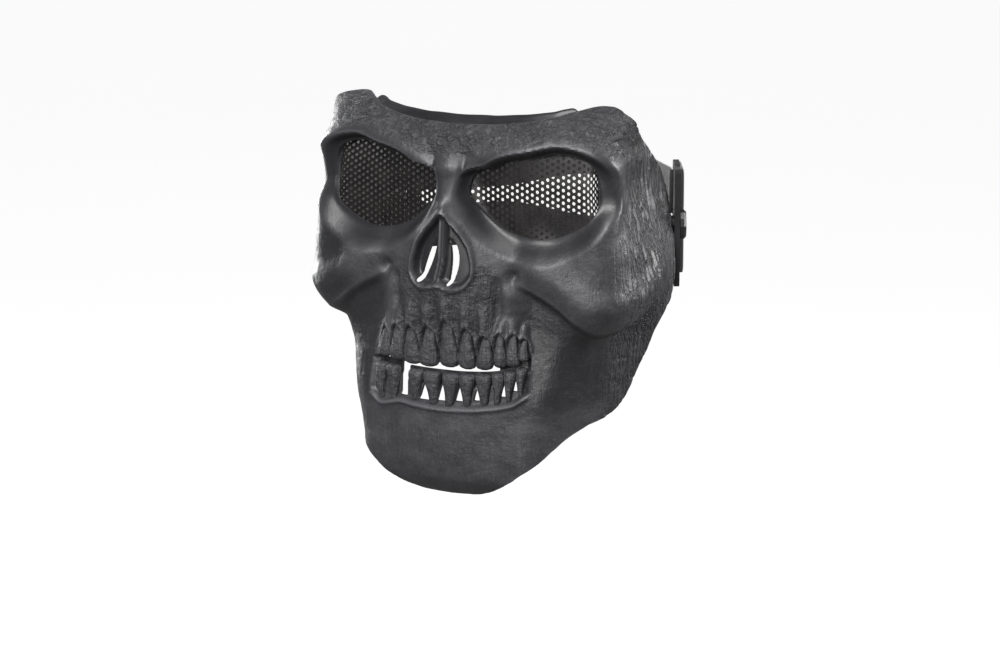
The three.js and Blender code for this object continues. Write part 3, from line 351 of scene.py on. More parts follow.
class Curve:
    """A smooth curve through rows that never swings past them."""

    def __init__(self, x, y):
        self.x, self.y = np.asarray(x, float), np.asarray(y, float)
        secant = np.diff(self.y) / np.diff(self.x)
        self.slope = np.zeros(len(self.x))
        before, after = secant[:-1], secant[1:]
        same = before * after > 0
        total = np.where(same, before + after, 1)
        self.slope[1:-1] = np.where(same, 2 * before * after / total, 0)

    def __call__(self, value):
        v = np.clip(value, self.x[0], self.x[-1])
        i = np.clip(np.searchsorted(self.x, v, side="right") - 1, 0, len(self.x) - 2)
        h = self.x[i + 1] - self.x[i]
        t = (v - self.x[i]) / h
        u = 1 - t
        ends = self.y[i] * u * u * (1 + 2 * t) + self.y[i + 1] * t * t * (3 - 2 * t)
        return ends + h * (self.slope[i] * t * u * u - self.slope[i + 1] * t * t * u)


def lattice(x, y, seed):
    """Smooth noise from 0 to 1 with one value for each unit square's corner."""
    ix, iy = np.floor(x).astype(np.int64), np.floor(y).astype(np.int64)
    fx, fy = x - ix, y - iy
    fx, fy = fx * fx * (3 - 2 * fx), fy * fy * (3 - 2 * fy)

    def corner(i, j):
        h = (i * 374761393 + j * 668265263 + seed * 982451653) & 0xFFFFFFFF
        h = ((h ^ (h >> 13)) * 1274126177) & 0xFFFFFFFF
        return ((h ^ (h >> 16)) & 0xFFFF) / 65535.0

    low = mix(corner(ix, iy), corner(ix + 1, iy), fx)
    high = mix(corner(ix, iy + 1), corner(ix + 1, iy + 1), fx)
    return mix(low, high, fy)


def rough(x, y, seed):
    """Three octaves of noise, about 0."""
    total = sum(lattice(2 ** n * x, 2 ** n * y, seed + n) / 2 ** n for n in range(3))
    return total / 1.75 - 0.5


def noise(s, t, kind):
    breadth, height, seed = kind
    return rough(s / breadth, t / height, seed)


def column_curve(table, column=1):
    return Curve(table[:, 0], table[:, column])


# Base form of the shell, tabulated over height and along the section
section_curves = [column_curve(SECTIONS, n) for n in range(1, 7)]
setback_curve = section_curves[0]
TABLE_UP = np.linspace(-0.05, 1.05, 1101)
TABLE_STEP = 0.0025
TABLE_ACROSS = np.arange(0, 0.96, TABLE_STEP)


def headings(up, across):
    _, bow, corner, turn, side, curl = (curve(up) for curve in section_curves)
    front = bow * ramp(0, BOW_REACH, across)
    turned = (side - bow) * ramp(corner, corner + turn, across)
    return np.radians(front + turned + curl * ramp(CURL_FROM, CURL_TO, across))


def running(values):
    total = np.cumsum(values, axis=1) * TABLE_STEP
    return np.hstack([np.zeros((len(values), 1)), total[:, :-1]])


middles = headings(TABLE_UP[:, None], TABLE_ACROSS[None, :] + TABLE_STEP / 2)
table_x, table_y = running(np.cos(middles)), running(np.sin(middles))


def lookup(table, up, across):
    row = np.clip((up - TABLE_UP[0]) / (TABLE_UP[1] - TABLE_UP[0]), 0, len(TABLE_UP) - 1.001)
    column = np.clip(across / TABLE_STEP, 0, len(TABLE_ACROSS) - 1.001)
    i, j = row.astype(int), column.astype(int)
    fi, fj = row - i, column - j
    low = mix(table[i, j], table[i, j + 1], fj)
    high = mix(table[i + 1, j], table[i + 1, j + 1], fj)
    return mix(low, high, fi)


widest = lookup(table_x, np.full(len(TABLE_ACROSS), WIDEST_UP), TABLE_ACROSS).max()
LATERAL = MASK_WIDTH / 2 / widest
rear_sum = lookup(table_y, np.array([REAR_UP]), np.array([REAR_ACROSS]))[0]
DEPTHWARD = JAW_TO_REAR * (1 - float(setback_curve(REAR_UP))) / rear_sum


def face_point(across, up, raised=0.0):
    """Points of the face in millimetres, raised over the base form along its level normal."""
    side = np.abs(across)
    heading = headings(up, side)
    x = LATERAL * lookup(table_x, up, side) + raised * np.sin(heading)
    y = JAW_TO_REAR * setback_curve(up) + DEPTHWARD * lookup(table_y, up, side) - raised * np.cos(heading)
    return np.stack([np.sign(across) * x, y - HEAD_AXIS_BEHIND_JAW, (up - PIVOT_UP) * MASK_HEIGHT], axis=-1)


class Outline:
    """A closed outline round a centre, with further columns that change round it."""

    def __init__(self, points, centre):
        rows = []
        for point in points:
            dx = (point[0] - centre[0]) * LATERAL
            dz = (point[1] - centre[1]) * MASK_HEIGHT
            rows.append((math.atan2(dz, dx), math.hypot(dx, dz), *point[2:]))
        rows.sort()
        table = np.array(rows)
        before, after = table[-3:].copy(), table[:3].copy()
        before[:, 0] -= 2 * math.pi
        after[:, 0] += 2 * math.pi
        table = np.vstack([before, table, after])
        self.centre = centre
        self.curves = [Curve(table[:, 0], table[:, n]) for n in range(1, table.shape[1])]

    def columns(self, across, up, count=3):
        """The distance in millimetres outside the outline, and what the other columns say there."""
        dx = (across - self.centre[0]) * LATERAL
        dz = (up - self.centre[1]) * MASK_HEIGHT
        radius, *others = (curve(np.arctan2(dz, dx)) for curve in self.curves[:count])
        return [np.hypot(dx, dz) - radius, *others]

    def outside(self, across, up):
        return self.columns(across, up, 1)[0]


def both_halves(half):
    return list(half) + [(-x, y) for x, y in half[1:-1]]


rim_outline = Outline(both_halves(RIM), RIM_CENTRE)
eye_outline = Outline(EYE, EYE_CENTRE)
nose_outline = Outline(both_halves(NOSE), NOSE_CENTRE)
muzzle_rise = column_curve(MUZZLE)
muzzle_spread = column_curve(MUZZLE, 2)
cheek_edge = column_curve(CHEEK_EDGE)
gum_edge = column_curve(GUM_EDGE)
mouth_line = column_curve(MOUTH_LINE)
arch_curve = column_curve(ARCH_FORM)
tooth_curves = {
    "upper": [column_curve(UPPER_FORM, n) for n in (1, 2)],
    "lower": [column_curve(LOWER_FORM, n) for n in (1, 2)],
}


# Relief features in millimetres over the base form
def muzzle(side, up):
    hump = 0.5 * (1 + np.cos(np.pi * np.minimum(side / muzzle_spread(up), 1)))
    return MUZZLE_RISE * muzzle_rise(up) * hump


def cheekbone(side, up):
    over = up - cheek_edge(side) - CHEEKBONE_OVER_EDGE
    return CHEEKBONE_RISE * within(CHEEKBONE_SPAN, side) * bump(over, CHEEKBONE_OVER_EDGE)


def cheek_hollow(side, up):
    below = cheek_edge(side) - up
    return -CHEEK_HOLLOW * within(CHEEK_HOLLOW_BELOW, below) * within(CHEEK_HOLLOW_SPAN, side)


def spots(side, up):
    """The temple's hollow, the bridge between the brows with its dimples, creases and knot, and the facet."""
    return sum(rise * bump(side - middle, breadth) * bump(up - height, tall)
               for rise, middle, height, breadth, tall in SPOTS)


def flank_groove(side, up):
    """The deep groove beside the muzzle, under the foramen."""
    across_it = bump(side - FLANK_GROOVE_ACROSS, FLANK_GROOVE_BREADTH)
    return -FLANK_GROOVE * across_it * within(FLANK_GROOVE_SPAN, up)


def foramen(side, up):
    distance = np.hypot((side - FORAMEN[0]) * LATERAL, (up - FORAMEN[1]) * MASK_HEIGHT)
    return -FORAMEN_DEPTH * bump(distance, FORAMEN_RADIUS)


def nose_cavity(across, up):
    side = np.abs(across)
    near = (side < 0.16) & (up > 0.48) & (up < 0.78)
    outside = nose_outline.outside(across, up)
    cavity = ramp(0, 2.6 * NOSE_RIM_BREADTH, -outside)
    aside = across + SEPTUM_LEAN * (1 - ramp(0.5, 0.62, up))
    plates = bump(aside - 0.008, 0.0045) + bump(aside + 0.008, 0.0045)
    septum = SEPTUM_RISE * cavity * (0.7 * bump(aside, 0.012) + 0.4 * plates)
    relief = NOSE_RIM * bump(outside, NOSE_RIM_BREADTH) - NOSE_RECESS * cavity + septum
    return np.where(near, relief, 0)


def upper_gum(across, up):
    """Pointed arches of the gum round the upper teeth, with a root's ridge over each."""
    recess = np.zeros_like(up)
    ridges = np.zeros_like(up)
    rims = np.zeros_like(up)
    for middle, breadth, crown, arch in UPPER_TEETH:
        half = breadth * LATERAL / 2
        aside = np.abs(across - middle) * LATERAL
        along = (up - crown) / (arch - crown)
        edge = aside - half * arch_curve(along)
        inside = (1 - ramp(-0.8, 0.6, edge)) * (1 - ramp(0.92, 1.06, along)) * ramp(-0.5, -0.3, along)
        recess = np.maximum(recess, inside)
        rims = np.maximum(rims, bump(edge - ARCH_RIM_BREADTH, ARCH_RIM_BREADTH) * within(ARCH_RIM_SPAN, along))
        outer = ramp(*OUTER_TEETH, abs(middle))
        over = np.clip((up - arch) / mix(ROOT_RIDGE_LENGTH, OUTER_RIDGE_LENGTH, outer), 0, 1)
        strength = ramp(-0.02, 0.012, up - arch) * (1 - ramp(0.35, 1, over)) * (1 - OUTER_RIDGE_LOSS * outer)
        ridges = np.maximum(ridges, strength * bump(aside, 0.75 * half))
    reach = within(ROOTS_SPAN, up) * (1 - ramp(0.22, 0.28, np.abs(across)))
    bone = ROOT_RIDGE * ridges + ARCH_RIM * rims - ROOT_GROOVE * reach * (1 - ridges) * (1 - rims)
    return bone * (1 - recess) - UPPER_BED * recess


def gum_line(across):
    return gum_edge(np.abs(across)) - RIGHT_GUM_DROP * ramp(RIGHT_GUM_FROM, RIGHT_GUM_TO, -across)


def lower_gum(across, up):
    """One long bed for the lower teeth, with a raised lip of gum under them."""
    gum = gum_line(across)
    ends = 1 - ramp(0.25, 0.275, np.abs(across))
    bed = ramp(gum - 0.002, gum + 0.012, up) * (1 - ramp(-0.002, 0.006, up - mouth_line(across)))
    lip = GUM_LIP * bump(up - gum + GUM_LIP_BREADTH, GUM_LIP_BREADTH)
    return ends * (lip - LOWER_BED * bed)


def mouth_bed(across, up):
    """The inner wall's soft recess behind the teeth."""
    gum = gum_line(across)
    bed = ramp(gum - 0.004, gum + 0.02, up) * (1 - ramp(0.33, 0.42, up))
    return -LOWER_BED * bed * (1 - ramp(0.24, 0.275, np.abs(across)))


def bare_form(across, up):
    side = np.abs(across)
    return (muzzle(side, up) + cheekbone(side, up) + cheek_hollow(side, up) + spots(side, up)
            + foramen(side, up) + flank_groove(side, up))


def texture(across, up):
    """Pits, long grooves and dents of the moulded bone that are wide enough to model."""
    s, t = across * LATERAL, up * MASK_HEIGHT
    side = np.abs(across)
    breadth, length, seed = GROOVES
    grooves = np.abs(2 * lattice(s / breadth + 0.3 * noise(s, t, GROOVE_WANDER), t / length, seed) - 1)
    grooves = -(1 - np.clip(grooves / 0.3, 0, 1)) ** 2
    pits = -ramp(0.2, 0.42, noise(s, t, PITS))
    crust = noise(s, t, CRUST)
    sides = ramp(0.42, 0.6, side)
    chin = 0.25 * (1 - ramp(0.16, 0.24, up))
    roots = 0.4 * within(GROOVED_ROOTS_SPAN, up) * (1 - ramp(0.14, 0.26, side))
    brow = ramp(0.86, 0.9, up)
    return (GROOVE_DEPTH * grooves * np.maximum.reduce([sides, chin, roots])
            + CRUST_DEPTH * crust * np.maximum.reduce([brow, 0.5 * chin, 0.25 * sides])
            + pits * np.maximum(brow, 0.4 * sides) + noise(s, t, DENTS))


def smooth_places(across, up):
    """0 where the surface is smooth, round the eyes and in the nose, and 1 elsewhere."""
    eye = eye_outline.outside(np.abs(across), up)
    nose = nose_outline.outside(across, up)
    return ramp(6, 16, eye) * ramp(-1, 3, nose)


def outer_relief(across, up):
    outside, bevel, strength = eye_outline.columns(np.abs(across), up)
    bevel = bevel * LATERAL
    socket = -SOCKET_DEPTH * (1 - ramp(0, bevel, outside))
    lip_breadth = np.where(outside < bevel, LIP_INNER_BREADTH, LIP_OUTER_BREADTH)
    lip = SOCKET_LIP * strength * bump(outside - bevel, lip_breadth) * ramp(0, bevel, outside)
    mouth = np.where((up > 0.2) & (up < 0.6), upper_gum(across, up) + lower_gum(across, up), 0)
    detail = texture(across, up) * smooth_places(across, up)
    return bare_form(across, up) + nose_cavity(across, up) + mouth + socket + lip + detail


def level_wall(across, up):
    """The wall as measured level along the base normal, more where the base form leans back."""
    step = 0.01
    here = face_point(across, up)
    aside = face_point(across + step, up) - here
    above = face_point(across, up + step) - here
    normal = np.cross(aside, above)
    normal /= np.linalg.norm(normal, axis=-1, keepdims=True)
    lean = np.abs(np.sum(normal * (face_point(across, up, 1.0) - here), axis=-1))
    return SHELL_WALL / np.maximum(0.5, lean)


def seat_relief(across, up):
    return bare_form(across, up) + nose_cavity(across, up) - SOCKET_DEPTH - level_wall(across, up)


def inner_relief(across, up):
    outside, bevel = eye_outline.columns(np.abs(across), up, 2)
    seat = SCREEN_FLANGE + 1
    socket = -SOCKET_DEPTH * (1 - ramp(seat, seat + bevel * LATERAL, outside))
    base = bare_form(across, up) + nose_cavity(across, up) + mouth_bed(across, up)
    wall = level_wall(across, up)
    return np.minimum(base + socket - wall, outer_relief(across, up) - wall * LEAST_WALL / SHELL_WALL)


# Openings of the shell, as distances in millimetres that are negative inside
def segment_distance(across, up, start, end):
    px, pz = across * LATERAL, up * MASK_HEIGHT
    ax, az, bx, bz = start[0] * LATERAL, start[1] * MASK_HEIGHT, end[0] * LATERAL, end[1] * MASK_HEIGHT
    length = (bx - ax) ** 2 + (bz - az) ** 2
    t = np.clip(((px - ax) * (bx - ax) + (pz - az) * (bz - az)) / length, 0, 1)
    return np.hypot(px - ax - t * (bx - ax), pz - az - t * (bz - az))


def nose_slit(across, up, line):
    """A bent slit that is widest in its middle, from short straight steps."""
    steps = 10
    top, bend, foot = (np.array(point) for point in line)
    share = np.linspace(0, 1, steps + 1)[:, None]
    route = top * (1 - share) ** 2 + 2 * bend * share * (1 - share) + foot * share ** 2
    nearest = np.full_like(up, 99.0)
    for n in range(steps):
        width = NOSE_SLIT / 2 * (0.55 + 0.45 * math.sin(math.pi * (n + 0.5) / steps))
        nearest = np.minimum(nearest, segment_distance(across, up, route[n], route[n + 1]) - width)
    return nearest


def tooth_opening(across, up, middle, breadth, low, high):
    """A drop with a flat foot between two roots."""
    along = np.clip((up - low) / (high - low), 0, 1)
    width = breadth * LATERAL / 2 * (1 - along) ** 0.7
    beyond = np.maximum(low - up, up - high) * MASK_HEIGHT
    return np.maximum(np.abs(across - middle) * LATERAL - width, beyond)


def mouth_opening(across, up):
    """The slit between the rows: scalloped by the upper crowns, cut short where the teeth meet."""
    crowns = np.full_like(up, -9.0)
    for middle, breadth, crown, _ in UPPER_TEETH:
        aside = (across - middle) / (breadth / 2)
        edge = crown + SCALLOP_TOP - SCALLOP_DEPTH * np.clip(1 - aside ** 2, -1, 1)
        scallop = (edge - up) * MASK_HEIGHT
        crowns = np.where(np.abs(aside) < 1.15, np.maximum(crowns, -scallop), crowns)
    below = (mouth_line(across) - up) * MASK_HEIGHT - MOUTH_SLIT / 2
    ends = np.maximum(MOUTH_SLIT_ENDS[0] - across, across - MOUTH_SLIT_ENDS[1]) * LATERAL
    holes = [np.hypot((across - middle) * LATERAL / long, (up - height) * MASK_HEIGHT) - 1.0
             for middle, height, long in MOUTH_HOLES]
    return np.minimum.reduce([np.maximum.reduce([crowns, below, ends]), *holes])


def missing_tooth(across, up):
    middle, low, high = MISSING_TOOTH
    aside = np.abs(across - middle) * LATERAL - TOOTH_GAP / 2
    return np.maximum(aside, np.maximum(low - up, up - high) * MASK_HEIGHT)


def shell_inside(across, up):
    s, t = across * LATERAL, up * MASK_HEIGHT
    ragged = 0.5 * noise(s, t, CHIPPED_EDGE) * (1 - ramp(0.3, 0.6, up)) + 0.3 * noise(s, t, UNEVEN_EDGE)
    inside = np.minimum(-rim_outline.outside(across, up) + ragged, eye_outline.outside(np.abs(across), up))
    cuts = [mouth_opening(across, up), missing_tooth(across, up)]
    cuts += [tooth_opening(across, up, *gap) for gap in ROOT_GAPS]
    cuts += [nose_slit(across, up, line) for line in NOSE_SLITS]
    return np.minimum(inside, np.minimum.reduce(cuts))


# A grid cut along the edge where inside() changes sign, with nearby points moved onto the edge
SNAP = 0.3


def stepped(stops):
    lines = [stops[0][0]]
    for (start, _), (end, step) in zip(stops, stops[1:]):
        count = max(1, round((end - start) / step))
        lines += [start + (end - start) * (n + 1) / count for n in range(count)]
    return np.array(lines)


def crossing_share(inside, p, q):
    """Where the edge lies between points p, which is inside or not, and q, which is the other."""
    low, high = np.zeros(len(p)), np.ones(len(p))
    positive = inside(p[:, 0], p[:, 1]) > 0
    for _ in range(14):
        t = (low + high) / 2
        point = p + (q - p) * t[:, None]
        same = (inside(point[:, 0], point[:, 1]) > 0) == positive
        low, high = np.where(same, t, low), np.where(same, high, t)
    return (low + high) / 2


def cut_grid(across_lines, up_lines, inside):
    columns, rows = len(across_lines), len(up_lines)
    grid = np.stack(np.meshgrid(across_lines, up_lines), axis=-1).reshape(-1, 2)
    values = inside(grid[:, 0], grid[:, 1])
    number = np.arange(len(grid)).reshape(rows, columns)
    pairs = np.vstack([
        np.stack([number[:, :-1].ravel(), number[:, 1:].ravel()], axis=1),
        np.stack([number[:-1].ravel(), number[1:].ravel()], axis=1),
    ])
    pairs = pairs[(values[pairs[:, 0]] > 0) != (values[pairs[:, 1]] > 0)]
    share = crossing_share(inside, grid[pairs[:, 0]], grid[pairs[:, 1]])
    points = grid.copy()
    best = np.full(len(grid), SNAP)
    for (i, j), t in zip(pairs, share):
        for here, there, part in ((i, j, t), (j, i, 1 - t)):
            if part < best[here]:
                best[here] = part
                points[here] = grid[here] + (grid[there] - grid[here]) * part
                values[here] = 0
    corners = np.stack([number[:-1, :-1], number[:-1, 1:], number[1:, 1:], number[1:, :-1]], axis=-1)
    corners = corners.reshape(-1, 4)
    kept = values[corners]
    whole = corners[np.all(kept >= 0, axis=1) & np.any(kept > 0, axis=1)]
    mixed = corners[np.any(kept < 0, axis=1) & np.any(kept > 0, axis=1)]
    edges = {}
    for a, b, c, d in mixed:
        for i, j in ((a, b), (b, c), (c, a), (c, d), (d, a)):
            if values[i] * values[j] < 0:
                edges[(min(i, j), max(i, j))] = 0
    keys = np.array(list(edges))
    share = crossing_share(inside, points[keys[:, 0]], points[keys[:, 1]])
    added = points[keys[:, 0]] + (points[keys[:, 1]] - points[keys[:, 0]]) * share[:, None]
    for n, key in enumerate(keys):
        edges[tuple(key)] = len(points) + n
    points = np.vstack([points, added])
    faces = [tuple(face) for face in whole]
    for a, b, c, d in mixed:
        for triangle in ((a, b, c), (a, c, d)):
            polygon = []
            for n in range(3):
                i, j = triangle[n], triangle[(n + 1) % 3]
                if values[i] >= 0:
                    polygon.append(i)
                if values[i] * values[j] < 0:
                    polygon.append(edges[(min(i, j), max(i, j))])
            if len(polygon) > 2 and any(values[i] > 0 for i in triangle):
                faces.append(tuple(polygon))
    return points, faces


def closed_sheet(points, faces, front, back):
    """Vertices and faces of a closed body over flat faces, with its front and back surfaces."""
    used = np.unique(np.concatenate([np.array(face) for face in faces]))
    place = {old: new for new, old in enumerate(used)}
    count = len(used)
    flat = points[used]
    vertices = np.vstack([front(flat[:, 0], flat[:, 1]), back(flat[:, 0], flat[:, 1])])
    solid = []
    border = {}
    for face in faces:
        ring = [place[i] for i in face]
        solid.append(ring)
        solid.append([i + count for i in reversed(ring)])
        for n, i in enumerate(ring):
            j = ring[(n + 1) % len(ring)]
            if (j, i) in border:
                del border[(j, i)]
            else:
                border[(i, j)] = True
    for i, j in border:
        solid.append([j, i, i + count, j + count])
    return vertices, solid, flat


# Blender objects from arrays
def linked(name, data):
    made = bpy.data.objects.new(name, data)
    bpy.context.scene.collection.objects.link(made)
    return made


def make_piece(name, vertices, faces, material, crisp_from):
    """A smooth-shaded object whose edges stay crisp where they turn by more than the given degrees."""
    mesh = bpy.data.meshes.new(name)
    mesh.from_pydata((np.asarray(vertices) * METRE).tolist(), [], faces)
    mesh.validate()
    mesh.update()
    mesh.polygons.foreach_set("use_smooth", [True] * len(mesh.polygons))
    mesh.set_sharp_from_angle(angle=math.radians(crisp_from))
    mesh.materials.append(material)
    return linked(name, mesh)


def add_values(piece, name, values):
    layer = piece.data.attributes.new(name, "FLOAT", "POINT")
    layer.data.foreach_set("value", np.asarray(values, np.float32))


def stand_in(piece, node):
    """Puts a piece in the place of a node of the solid model."""
    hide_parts(node)
    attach(piece, "root")


# Materials
class Nodes:
    """Short calls for a material's node tree."""

    def __init__(self, name):
        self.material = bpy.data.materials.new(name)
        self.material.use_nodes = True
        self.tree = self.material.node_tree
        self.shader = self.tree.nodes["Principled BSDF"]

    def put(self, socket, value):
        if isinstance(value, bpy.types.NodeSocket):
            self.tree.links.new(value, socket)
        else:
            socket.default_value = value

    def add(self, kind, **inputs):
        node = self.tree.nodes.new(kind)
        for key, value in inputs.items():
            self.put(node.inputs[key.replace("_", " ")], value)
        return node

    def math(self, operation, a, b=0.0):
        node = self.add("ShaderNodeMath")
        node.operation = operation
        self.put(node.inputs[0], a)
        self.put(node.inputs[1], b)
        return node.outputs[0]

    def times(self, a, b):
        return self.math("MULTIPLY", a, b)

    def plus(self, a, b):
        return self.math("ADD", a, b)

    def less(self, a, b):
        return self.math("SUBTRACT", a, b)

    def weakened(self, cuts, share):
        """Cuts, which are 1 where there is none, made as deep as the share."""
        return self.less(1.0, self.times(self.less(1.0, cuts), share))

    def ramp(self, value, stops):
        node = self.add("ShaderNodeValToRGB", Fac=value)
        elements = node.color_ramp.elements
        while len(elements) < len(stops):
            elements.new(0.5)
        for element, (place, color) in zip(elements, stops):
            element.position = place
            element.color = (*color, 1) if isinstance(color, tuple) else (color, color, color, 1)
        return node.outputs["Color"]

    def blend(self, share, color, other):
        """A colour that goes over to another, fixed one."""
        node = self.add("ShaderNodeMix")
        node.data_type = "RGBA"
        self.put(node.inputs["Factor"], share)
        self.put(node.inputs["A"], color)
        self.put(node.inputs["B"], other)
        return node.outputs["Result"]

    def value(self, name):
        node = self.tree.nodes.new("ShaderNodeAttribute")
        node.attribute_name = name
        return node.outputs["Fac"]

    def place(self, scale):
        """Object coordinates in units of the given sizes in millimetres."""
        coordinates = self.tree.nodes.new("ShaderNodeTexCoord")
        mapping = self.tree.nodes.new("ShaderNodeMapping")
        mapping.inputs["Scale"].default_value = [1000 / size for size in scale]
        self.tree.links.new(coordinates.outputs["Object"], mapping.inputs["Vector"])
        return mapping.outputs["Vector"]

    def noise(self, scale, detail=3.0, rough=0.55):
        node = self.add("ShaderNodeTexNoise", Vector=self.place(scale), Scale=1.0,
                        Detail=detail, Roughness=rough)
        return node.outputs["Fac"]

    def bump(self, height, distance, strength=1.0, normal=None):
        node = self.add("ShaderNodeBump", Height=height, Strength=strength, Distance=distance * METRE)
        if normal is not None:
            self.put(node.inputs["Normal"], normal)
        return node.outputs["Normal"]

    def set(self, **inputs):
        for key, value in inputs.items():
            self.put(self.shader.inputs[key.replace("_", " ")], value)
        return self.material


def bone_material():
    """Charcoal moulded plastic: mottled, worn lighter on ridges, grained, pitted and scratched, with painted
    shade that darkens its colour in the grooves and pits, round the eyes, in the nose, in the hollows under
    the cheekbones and on the wearer's right cheek.
    """
    n = Nodes("bone_plastic")
    carved, pitted, worn, polished_and_shaded = (n.value(name) for name in ("carved", "pitted", "worn", "polished_and_shaded"))
    mottle = n.noise((18, 18, 14), 5, 0.6)
    fine = n.noise((1.3, 1.3, 1.6), 4, 0.6)
    grooves = n.noise((3.4, 3.4, 34), 3, 0.55)
    grooves = n.math("ABSOLUTE", n.less(grooves, 0.5))
    grooves = n.weakened(n.math("MINIMUM", n.times(grooves, 11), 1.0), carved)
    crumb = n.noise((4.4, 4.4, 3.2), 4, 0.6)
    crumb = n.math("MAXIMUM", n.less(crumb, 0.42), 0.0)
    crumb = n.weakened(n.math("MINIMUM", n.times(crumb, 5), 1.0), pitted)
    tone = n.plus(n.times(mottle, 0.5), n.times(fine, 0.3))
    # Painted shade: the colour is darker inside the grooves and pits, which are also bumped
    base = n.ramp(n.plus(tone, n.times(n.times(grooves, crumb), 0.2)),
                  [(0.36, (0.02, 0.02, 0.022)), (0.58, (0.045, 0.045, 0.049)), (0.76, (0.074, 0.074, 0.08))])
    # Painted shade: the colour goes darker round the eyes, in the nose, in the hollows under the cheekbones
    # and on the wearer's right cheek
    base = n.blend(n.times(polished_and_shaded, 0.75), base, (0.012, 0.012, 0.0135, 1))
    base = n.blend(n.times(worn, 0.4), base, (0.12, 0.12, 0.13, 1))
    gloss = n.plus(n.times(fine, 0.5), n.times(mottle, 0.5))
    gloss = n.ramp(n.less(gloss, n.times(polished_and_shaded, 0.16)), [(0.3, 0.33), (0.65, 0.54)])
    normal = n.bump(fine, 0.1, 0.8)
    normal = n.bump(grooves, 0.95, 1.0, normal)
    normal = n.bump(crumb, 1.1, 1.0, normal)
    n.set(Specular_IOR_Level=0.42)
    return n.set(Base_Color=base, Roughness=gloss, Normal=normal)


def screen_material():
    """Black-coated pierced sheet, rubbed to brown steel round the holes."""
    n = Nodes("screen_steel")
    patches = n.noise((9, 9, 9), 4)
    fine = n.noise((0.7, 0.7, 0.7), 3)
    color = n.ramp(n.plus(n.times(patches, 0.5), n.times(fine, 0.5)),
                   [(0.35, (0.006, 0.0055, 0.006)), (0.7, (0.026, 0.021, 0.02))])
    gloss = n.ramp(patches, [(0.35, 0.28), (0.7, 0.46)])
    return n.set(Base_Color=color, Metallic=0.35, Roughness=gloss, Normal=n.bump(fine, 0.06, 0.5))


def trim_material():
    n = Nodes("trim_moulding")
    drift = n.noise((30, 30, 8), 3)
    fine = n.noise((0.9, 0.9, 0.9), 2)
    color = n.ramp(drift, [(0.3, (0.01, 0.01, 0.011)), (0.7, (0.024, 0.024, 0.027))])
    gloss = n.ramp(drift, [(0.3, 0.15), (0.7, 0.28)])
    return n.set(Base_Color=color, Roughness=gloss, Normal=n.bump(fine, 0.03, 0.4))


def hardware_material():
    n = Nodes("hardware_plastic")
    drift = n.noise((12, 12, 12), 3)
    fine = n.noise((0.6, 0.6, 0.6), 2)
    color = n.ramp(drift, [(0.3, (0.010, 0.010, 0.011)), (0.7, (0.022, 0.022, 0.024))])
    gloss = n.ramp(fine, [(0.3, 0.3), (0.7, 0.42)])
    return n.set(Base_Color=color, Roughness=gloss, Normal=n.bump(fine, 0.05, 0.5))


def webbing_material():
    """Woven elastic: ribs across the strap, crossed by threads along it."""
    n = Nodes("strap_webbing")
    along, over = n.value("along"), n.value("over")
    weft = n.math("SINE", n.times(along, 2 * math.pi / WEFT_PITCH))
    warp = n.math("SINE", n.times(over, 2 * math.pi / WARP_PITCH))
    weave = n.times(n.plus(n.times(weft, warp), 1.0), 0.5)
    ribs = n.plus(n.times(weft, 0.3), weave)
    fuzz = n.noise((0.5, 0.5, 0.5), 3)
    height = n.plus(ribs, n.times(fuzz, 0.5))
    color = n.ramp(n.times(height, 0.6), [(0.1, (0.006, 0.006, 0.007)), (0.8, (0.03, 0.03, 0.033))])
    n.set(Sheen_Weight=0.35, Sheen_Roughness=0.5)
    return n.set(Base_Color=color, Roughness=0.92, Normal=n.bump(height, 0.25, 0.8))


def floor_material():
    n = Nodes("pale_floor")
    drift = n.noise((900, 900, 900), 2)
    color = n.ramp(drift, [(0.3, 0.34), (0.7, 0.36)])
    n.set(Emission_Color=(1, 1, 1, 1), Emission_Strength=FLOOR_GLOW)
    return n.set(Base_Color=color, Roughness=0.8)


BONE = bone_material()
STEEL = screen_material()
TRIM = trim_material()
PLASTIC = hardware_material()
WEBBING = webbing_material()
FLOOR = floor_material()


# Lines of the shell's fine grid: place, and the spacing used up to it
ACROSS_STOPS = [(0, 0), (0.27, 0.0037), (0.56, 0.0084), (0.9, 0.0112)]
UP_STOPS = [
    (-0.02, 0), (0.21, 0.0095), (0.48, 0.0032), (0.6, 0.0044), (0.74, 0.0048),
    (0.8, 0.0066), (0.9, 0.0048), (1.01, 0.007),
]


def joined_bodies(bodies):
    """One list of vertices and one of faces from several."""
    vertices, faces = [], []
    start = 0
    for body_vertices, body_faces in bodies:
        vertices.append(body_vertices)
        faces += [[i + start for i in face] for face in body_faces]
        start += len(body_vertices)
    return np.vstack(vertices), faces


def facing_out(vertices, faces):
    """Turns all faces over if they enclose a negative volume."""
    volume = 0.0
    for face in faces:
        for n in range(1, len(face) - 1):
            volume += np.dot(vertices[face[0]], np.cross(vertices[face[n]], vertices[face[n + 1]]))
    return faces if volume > 0 else [face[::-1] for face in faces]


def stacked_rings(rings):
    """A closed body from rings of equally many points, with both ends capped."""
    count, corners = len(rings), len(rings[0])
    faces = []
    for ring in range(count - 1):
        for i in range(corners):
            j = (i + 1) % corners
            near, far = ring * corners, (ring + 1) * corners
            faces.append([near + i, near + j, far + j, far + i])
    faces.append(list(range(corners))[::-1])
    faces.append([(count - 1) * corners + i for i in range(corners)])
    vertices = np.vstack(rings)
    return vertices, facing_out(vertices, faces)


